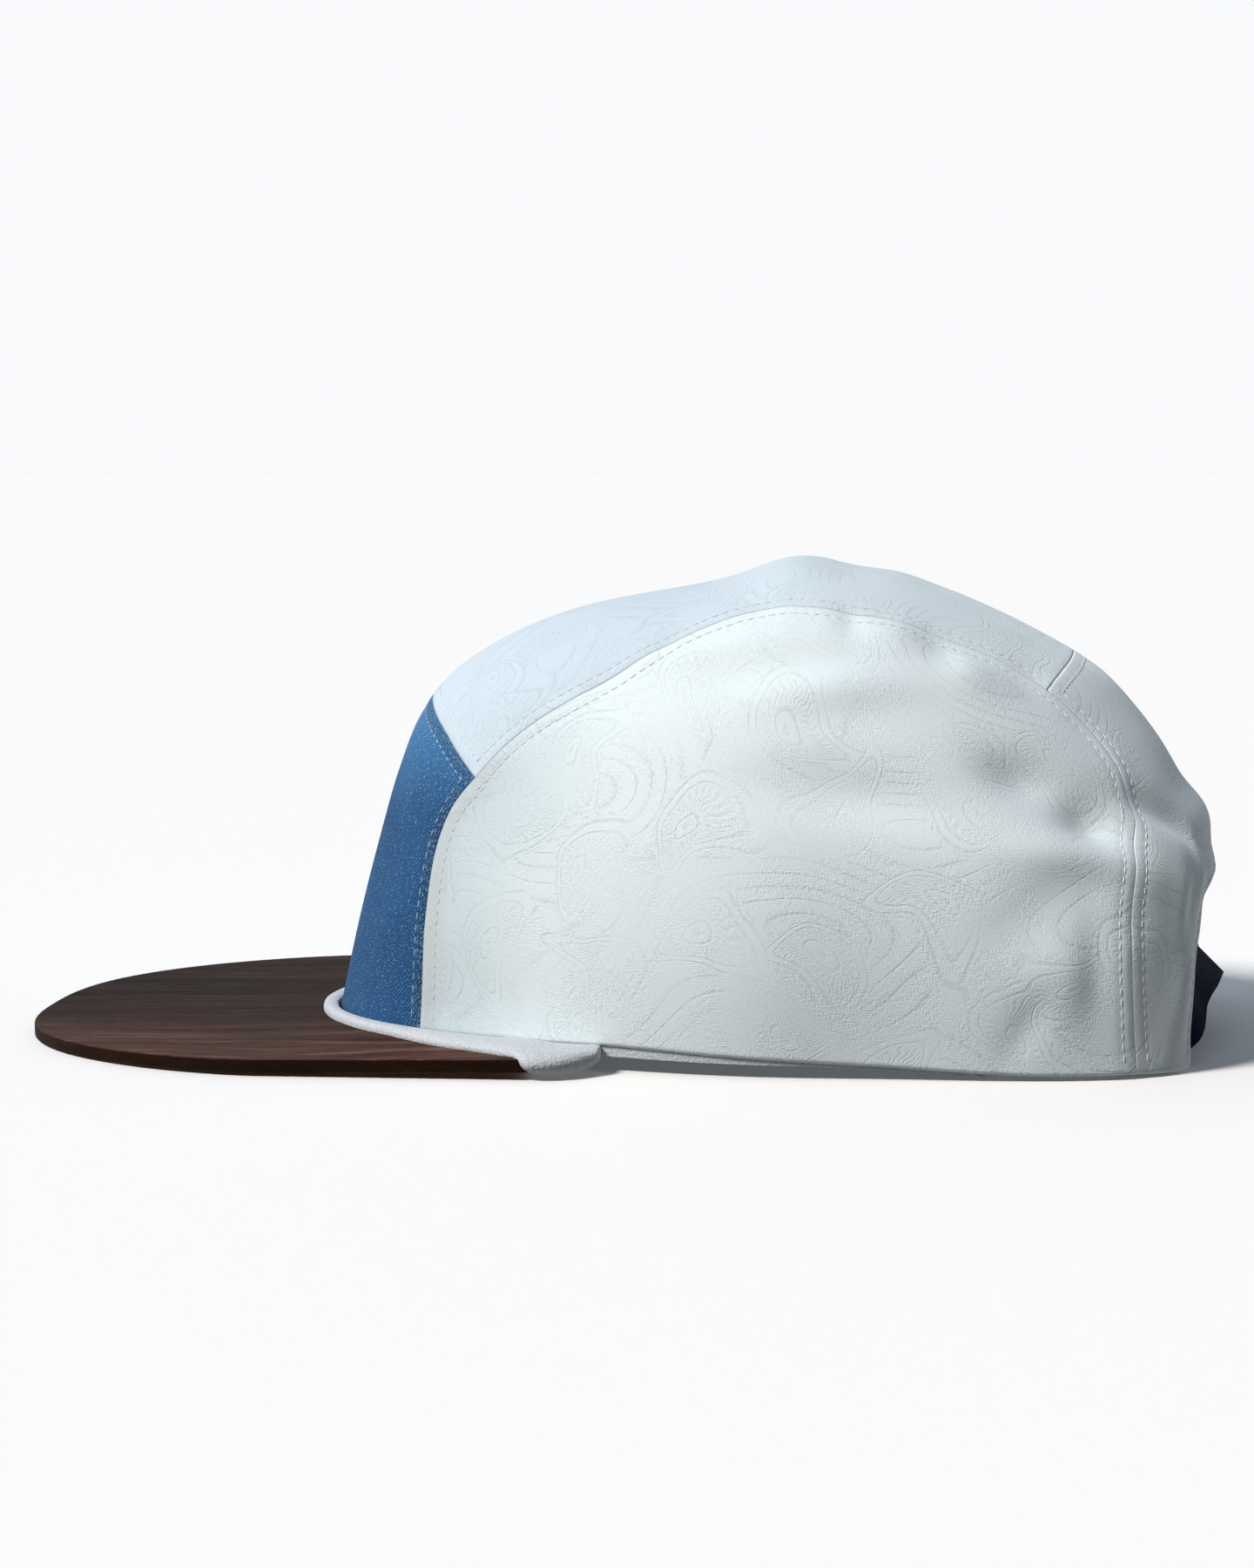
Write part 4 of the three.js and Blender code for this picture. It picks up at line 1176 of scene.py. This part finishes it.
board = addPiece("brim_board", newMesh("brim_board", buildBrim), walnut, "brim")
board.modifiers.new("evenShade", "WEIGHTED_NORMAL")
print("brim cut")

binding = {
    "height": 2.6,
    "turn": 51,
    "sunk": 0.6,  # how deep its flat underside is set into the board
    "tucked": 2.6,  # how far its ears reach in under the crown
    "voxel": 0.45,
}

# Width of the roll at some turns round from the front: it spreads to cover the brim's rear corner.
rollWidths = [(0, 4), (10, 3.5), (18, 3.7), (28, 5.1), (33, 7.4), (38, 10.3), (45, 13.4), (51, 17)]

# Sections of the cloth folded round a rear corner of the brim: Y, outermost X, lowest and highest Z.
earSections = [
    (-20, 80, 4.4, 6.5),
    (-16, 85.4, 3.6, 6.6),
    (-13.2, 88.4, 1, 6.6),
    (-9.5, 88.4, 0.6, 6.4),
    (-6, 87, 0.6, 6.3),
    (-3, 84.7, 0.8, 6.2),
    (-0.3, 81.6, 1.6, 6.1),
    (1.6, 79.2, 2.9, 5.9),
]


def closeTube(bm, mesh):
    bm.from_mesh(mesh)
    bmesh.ops.remove_doubles(bm, verts=bm.verts[:], dist=0.01 * mm)
    ends = [edge for edge in bm.edges if edge.is_boundary]
    bmesh.ops.holes_fill(bm, edges=ends, sides=0)
    bmesh.ops.recalc_face_normals(bm, faces=bm.faces[:])


def softRound(value, roundness):
    return np.sign(value) * np.abs(value) ** roundness


def bindingRoll():
    mesh, s, t, _ = gridMesh("roll", 160, 24)
    share = lerp(-1, 1, s)
    turns = share * math.radians(binding["turn"])
    foot = clothPoints(hemOffset(turns, 0), -0.1)
    outward = unit(crownFacing(hemOffset(turns, 0)) * np.array([1, 1, 0]))
    widths = np.array(rollWidths)
    width = np.interp(np.abs(np.degrees(turns)), widths[:, 0], widths[:, 1])
    height = binding["height"]
    around = 2 * np.pi * t
    roundness = np.where(np.sin(around) < 0, 0.3, 0.8)
    across = (0.5 + 0.5 * softRound(np.cos(around), roundness)) * width
    up = (0.5 + 0.5 * softRound(np.sin(around), roundness)) * height
    points = foot + outward * across[:, None]
    points[:, 2] = brimUnderside(foot[:, 1]) + brim["thickness"] - binding["sunk"] + up
    writePoints(mesh, points)
    return mesh


def bindingEar(side):
    mesh, s, t, _ = gridMesh("ear", 40, 36)
    rows = smoothRows(earSections, s * (len(earSections) - 1))
    hem = clothPoints(hemOffset(side * np.radians(np.linspace(20, 90, 200)), 0), binding["tucked"])
    hem[:, 0] *= side
    inner = np.interp(rows[:, 0], hem[:, 1], hem[:, 0])
    around = 2 * np.pi * t
    halfWidth = np.maximum(rows[:, 1] - inner, 0.4) / 2
    halfHeight = (rows[:, 3] - rows[:, 2]) / 2
    across = inner + halfWidth * (1 + softRound(np.cos(around), 0.85))
    up = rows[:, 2] + halfHeight * (1 + softRound(np.sin(around), 0.85))
    writePoints(mesh, np.stack([side * across, rows[:, 0], up], axis=1))
    return mesh


def buildBinding(bm):
    for mesh in (bindingRoll(), bindingEar(1), bindingEar(-1)):
        part = bmesh.new()
        closeTube(part, mesh)
        part.to_mesh(mesh)
        part.free()
        bm.from_mesh(mesh)
        bpy.data.meshes.remove(mesh)


roll = addPiece(
    "binding_roll", newMesh("binding_roll", buildBinding), bindingCloth, "brim_binding"
)
fused = roll.modifiers.new("fused", "REMESH")
fused.mode = "VOXEL"
fused.voxel_size = binding["voxel"] * mm
eased = roll.modifiers.new("eased", "SMOOTH")
eased.factor = 0.5
eased.iterations = 6
settle(roll).shade_smooth()
print("binding rolled")

# Where the band shows under the crown's hem, it curls out by some distance.
band = {"thickness": 1.2, "height": 27, "gap": 0.9, "turn": 136, "curl": 1.7}
bandEdge = [(-69, 5.3), (-4, 5.7), (0, 3.4), (4, 3.2), (20, 3), (45, 2.8), (66, 2.1), (134, 0.8)]


def makeSweatband():
    mesh, s, t, _ = gridMesh("sweatband_cloth", 420, 30)
    turns = np.radians(lerp(-band["turn"], band["turn"], s))
    foot = hemOffset(turns, 0)
    rows = np.array(bandEdge)
    low = np.interp(foot[:, 1], rows[:, 0], rows[:, 1])
    foot[:, 2] = lerp(low, band["height"], t**1.6)
    hem = np.array(hemLine)
    under = np.interp(foot[:, 1], hem[:, 1], hem[:, 2]) - foot[:, 2]
    curl = np.clip((under + 0.45) / 0.25, 0, 1) * (foot[:, 1] > -6) * band["curl"]
    points = clothPoints(foot, crown["cloth"] + band["gap"] - curl)
    writePoints(mesh, points)
    faceOut(mesh, crownInside)
    piece = addPiece("sweatband_cloth", mesh, bindingCloth, "sweatband")
    thicken(piece, band["thickness"])


makeSweatband()
print("sweatband set in")

strap = {
    "thickness": 1.2,
    "halfSpan": 64,
    "tipLength": 10,
    "layerGap": 0.35,
    "holedEnd": -31,
    "peggedEnd": -22,
    "freeFrom": 18,
    "freeStandOff": 1.5,
    "fastenedFrom": -22,
    "holes": 7,
    "pegs": 5,
    "pitch": 8.5,
    "holeRadius": 2.3,
    "pegRadius": 1.8,
    "pegStand": 2.2,
    "pegHead": 0.75,  # height of a peg's head; the stem under it is thinner
    "pegStem": 1.55,
    "edgeRound": 0.25,
}

# Lower edge of the strap on either side of the middle: reach back, lift, lean in degrees, height.
strapRows = [
    (137.2, 12.8, 45, 20.6),
    (135.2, 12, 42, 20.6),
    (132.2, 10.2, 33, 20.6),
    (129.6, 4.6, 18, 23.4),
    (119.5, 0.5, 8, 24),
]


def strapFoot(across):
    rows = smoothRows(strapRows, np.abs(across) / 16)
    return np.stack([across, rows[:, 0], rows[:, 1]], axis=1), rows[:, 2], rows[:, 3]


# The directions in which the strip stands up and faces outwards.
def strapFrame(across):
    along = strapFoot(across + 0.5)[0] - strapFoot(across - 0.5)[0]
    lean = np.radians(strapFoot(across)[1])
    up = np.stack([np.zeros(len(lean)), -np.sin(lean), np.cos(lean)], axis=1)
    return up, unit(np.cross(up, along))


def strapPoints(across, height, stand):
    across = np.atleast_1d(np.asarray(across, float))
    up, out = strapFrame(across)
    height = np.atleast_1d(height)[:, None]
    stand = np.atleast_1d(stand)[:, None]
    return strapFoot(across)[0] + up * height + out * stand


def stripMesh(name, side, stand, freeEnd, standOff):
    mesh, s, t, _ = gridMesh(name, 150, 20)
    s = 1 - (1 - s) ** 1.6
    across = lerp(strap["halfSpan"], freeEnd, s)
    tip = np.minimum(1, (across - freeEnd) / strap["tipLength"])
    tipShare = np.sqrt(np.maximum(1 - (1 - tip) ** 2, 0.08))
    past = np.maximum(0, (-across - strap["freeFrom"]) / (-freeEnd - strap["freeFrom"]))
    height = strapFoot(across)[2] * (0.5 + (t - 0.5) * tipShare)
    writePoints(mesh, strapPoints(side * across, height, stand + standOff * past**2))
    faceOut(mesh, crownInside)
    return mesh


# A short round bar through the middle of the strap's height, from one stand to another.
def strapBar(bm, across, radius, start, end):
    middle = np.array([strapFoot(np.array([float(across)]))[2][0] / 2])
    _, out = strapFrame(np.array([float(across)]))
    centre = strapPoints(across, middle, (start + end) / 2)[0]
    turn = Vector(out[0]).to_track_quat("Z", "Y").to_matrix().to_4x4()
    spot = Matrix.Translation(Vector(centre * mm)) @ turn
    return bmesh.ops.create_cone(
        bm, cap_ends=True, segments=28, radius1=radius * mm, radius2=radius * mm,
        depth=(end - start) * mm, matrix=spot,
    )["verts"]


# Rounds a strip's sharp edges.
def soften(piece):
    rounding = piece.modifiers.new("rounding", "BEVEL")
    rounding.width = strap["edgeRound"] * mm
    rounding.segments = 2
    rounding.limit_method = "ANGLE"
    rounding.angle_limit = math.radians(50)
    piece.data.shade_smooth()
    piece.modifiers.new("evenShade", "WEIGHTED_NORMAL")


def makeHoledStrap():
    stand = strap["thickness"] + strap["layerGap"]
    mesh = stripMesh("snap_strap_outer", 1, stand, strap["holedEnd"], strap["freeStandOff"])
    piece = addPiece("snap_strap_outer", mesh, navyPlastic, "snap_strap_left")
    thicken(piece, strap["thickness"])

    def bars(bm):
        for k in range(strap["holes"]):
            across = strap["fastenedFrom"] + k * strap["pitch"]
            strapBar(bm, across, strap["holeRadius"], -3, 6)  # right through the strip

    cutter = newObject("holes", newMesh("holes", bars))
    cut = piece.modifiers.new("holes", "BOOLEAN")
    cut.object = cutter
    cut.solver = "EXACT"
    settle(piece)
    bpy.data.objects.remove(cutter)
    soften(piece)


def makePeggedStrap():
    mesh = stripMesh("snap_strap_inner", -1, 0, strap["peggedEnd"], 0)
    piece = addPiece("snap_strap_inner", mesh, navyPlastic, "snap_strap_right")
    thicken(piece, strap["thickness"])
    settle(piece)
    bm = bmesh.new()
    bm.from_mesh(piece.data)
    for k in range(strap["pegs"]):
        across = strap["fastenedFrom"] + k * strap["pitch"]
        head = strap["pegStand"] - strap["pegHead"]
        strapBar(bm, across, strap["pegStem"], -strap["thickness"] / 2, head + 0.25)
        strapBar(bm, across, strap["pegRadius"], head, strap["pegStand"])
    bm.to_mesh(piece.data)
    bm.free()
    soften(piece)


makeHoledStrap()
makePeggedStrap()
print("straps fastened")

stage = {
    "floor": (0.96, 0.93, 0.90, 1),
    "radius": 9,
    "wall": 6,  # height of the pale wall round the floor, and how brightly it shows
    "wallColor": (0.97, 0.98, 1, 1),
    "wallGlow": 0.97,
    "lowSky": (0.98, 0.99, 1.0, 1),
    "highSky": (0.54, 0.68, 0.88, 1),
    "below": 0.27,  # light that comes from under the horizon
    "brightness": 0.37,  # of the surroundings, on the whole
    "slope": (-0.50, -0.18, 0.0),  # how fast they brighten towards each axis
}


def makeFloor():
    def build(bm):
        bmesh.ops.create_circle(bm, cap_ends=True, radius=stage["radius"], segments=96)

    floor = newObject("floor", newMesh("floor", build))
    material, _, shader = newMaterial("floor")
    shader.inputs["Base Color"].default_value = stage["floor"]
    shader.inputs["Roughness"].default_value = 0.9
    shader.inputs["Specular IOR Level"].default_value = 0.2
    floor.data.materials.append(material)
    floor.visible_diffuse = False  # the surroundings light the cap from below instead


# A pale wall round the floor that only the camera sees.
def makeBackdrop():
    def build(bm):
        rim = bmesh.ops.create_circle(bm, radius=stage["radius"] - 0.1, segments=96)["verts"]
        edges = list({edge for vertex in rim for edge in vertex.link_edges})
        raised = bmesh.ops.extrude_edge_only(bm, edges=edges)["geom"]
        lifted = [part for part in raised if isinstance(part, bmesh.types.BMVert)]
        bmesh.ops.translate(bm, verts=lifted, vec=(0, 0, stage["wall"]))
        bmesh.ops.translate(bm, verts=bm.verts[:], vec=(0, 0, -0.02))

    wall = newObject("backdrop", newMesh("backdrop", build))
    material, _, shader = newMaterial("backdrop")
    shader.inputs["Base Color"].default_value = (0, 0, 0, 1)
    shader.inputs["Specular IOR Level"].default_value = 0
    shader.inputs["Emission Color"].default_value = stage["wallColor"]
    shader.inputs["Emission Strength"].default_value = stage["wallGlow"]
    wall.data.materials.append(material)
    wall.visible_diffuse = wall.visible_glossy = wall.visible_shadow = False


def makeWorld():
    world = bpy.data.worlds.new("world")
    world.use_nodes = True
    tree = world.node_tree
    background = tree.nodes["Background"]
    way = put(tree, "ShaderNodeTexCoord").node.outputs["Generated"]
    slope = {0: way, 1: stage["slope"]}
    rise = put(tree, "ShaderNodeVectorMath", slope, operation="DOT_PRODUCT").node.outputs[1]
    strength = larger(tree, plus(tree, rise, stage["brightness"]), 0.0)
    upward = parts(tree, way)[2]
    strength = put(
        tree, "ShaderNodeMix", {0: fade(tree, upward, -0.12, -0.02), 2: stage["below"], 3: strength}
    )
    high = fade(tree, upward, 0.05, 0.9)
    color = mixColors(tree, high, stage["lowSky"], stage["highSky"])
    tree.links.new(color, background.inputs["Color"])
    tree.links.new(strength, background.inputs["Strength"])
    bpy.context.scene.world = world


# Direction that the sun shines from, its strength, the angle it fills in degrees, and its colour.
sun = {"from": (0.45, -0.54, 0.707), "strength": 3.4, "angle": 16, "color": (1, 0.99, 0.975)}


def makeSun():
    light = bpy.data.lights.new("key", "SUN")
    light.energy = sun["strength"]
    light.angle = math.radians(sun["angle"])
    light.color = sun["color"]
    holder = newObject("key", light)
    holder.location = Vector(sun["from"]) * 2
    holder.rotation_euler = (-Vector(sun["from"])).to_track_quat("-Z", "Y").to_euler()


makeFloor()
makeBackdrop()
makeWorld()
makeSun()
bpy.context.scene.view_settings.view_transform = "Standard"
print("stage lit")
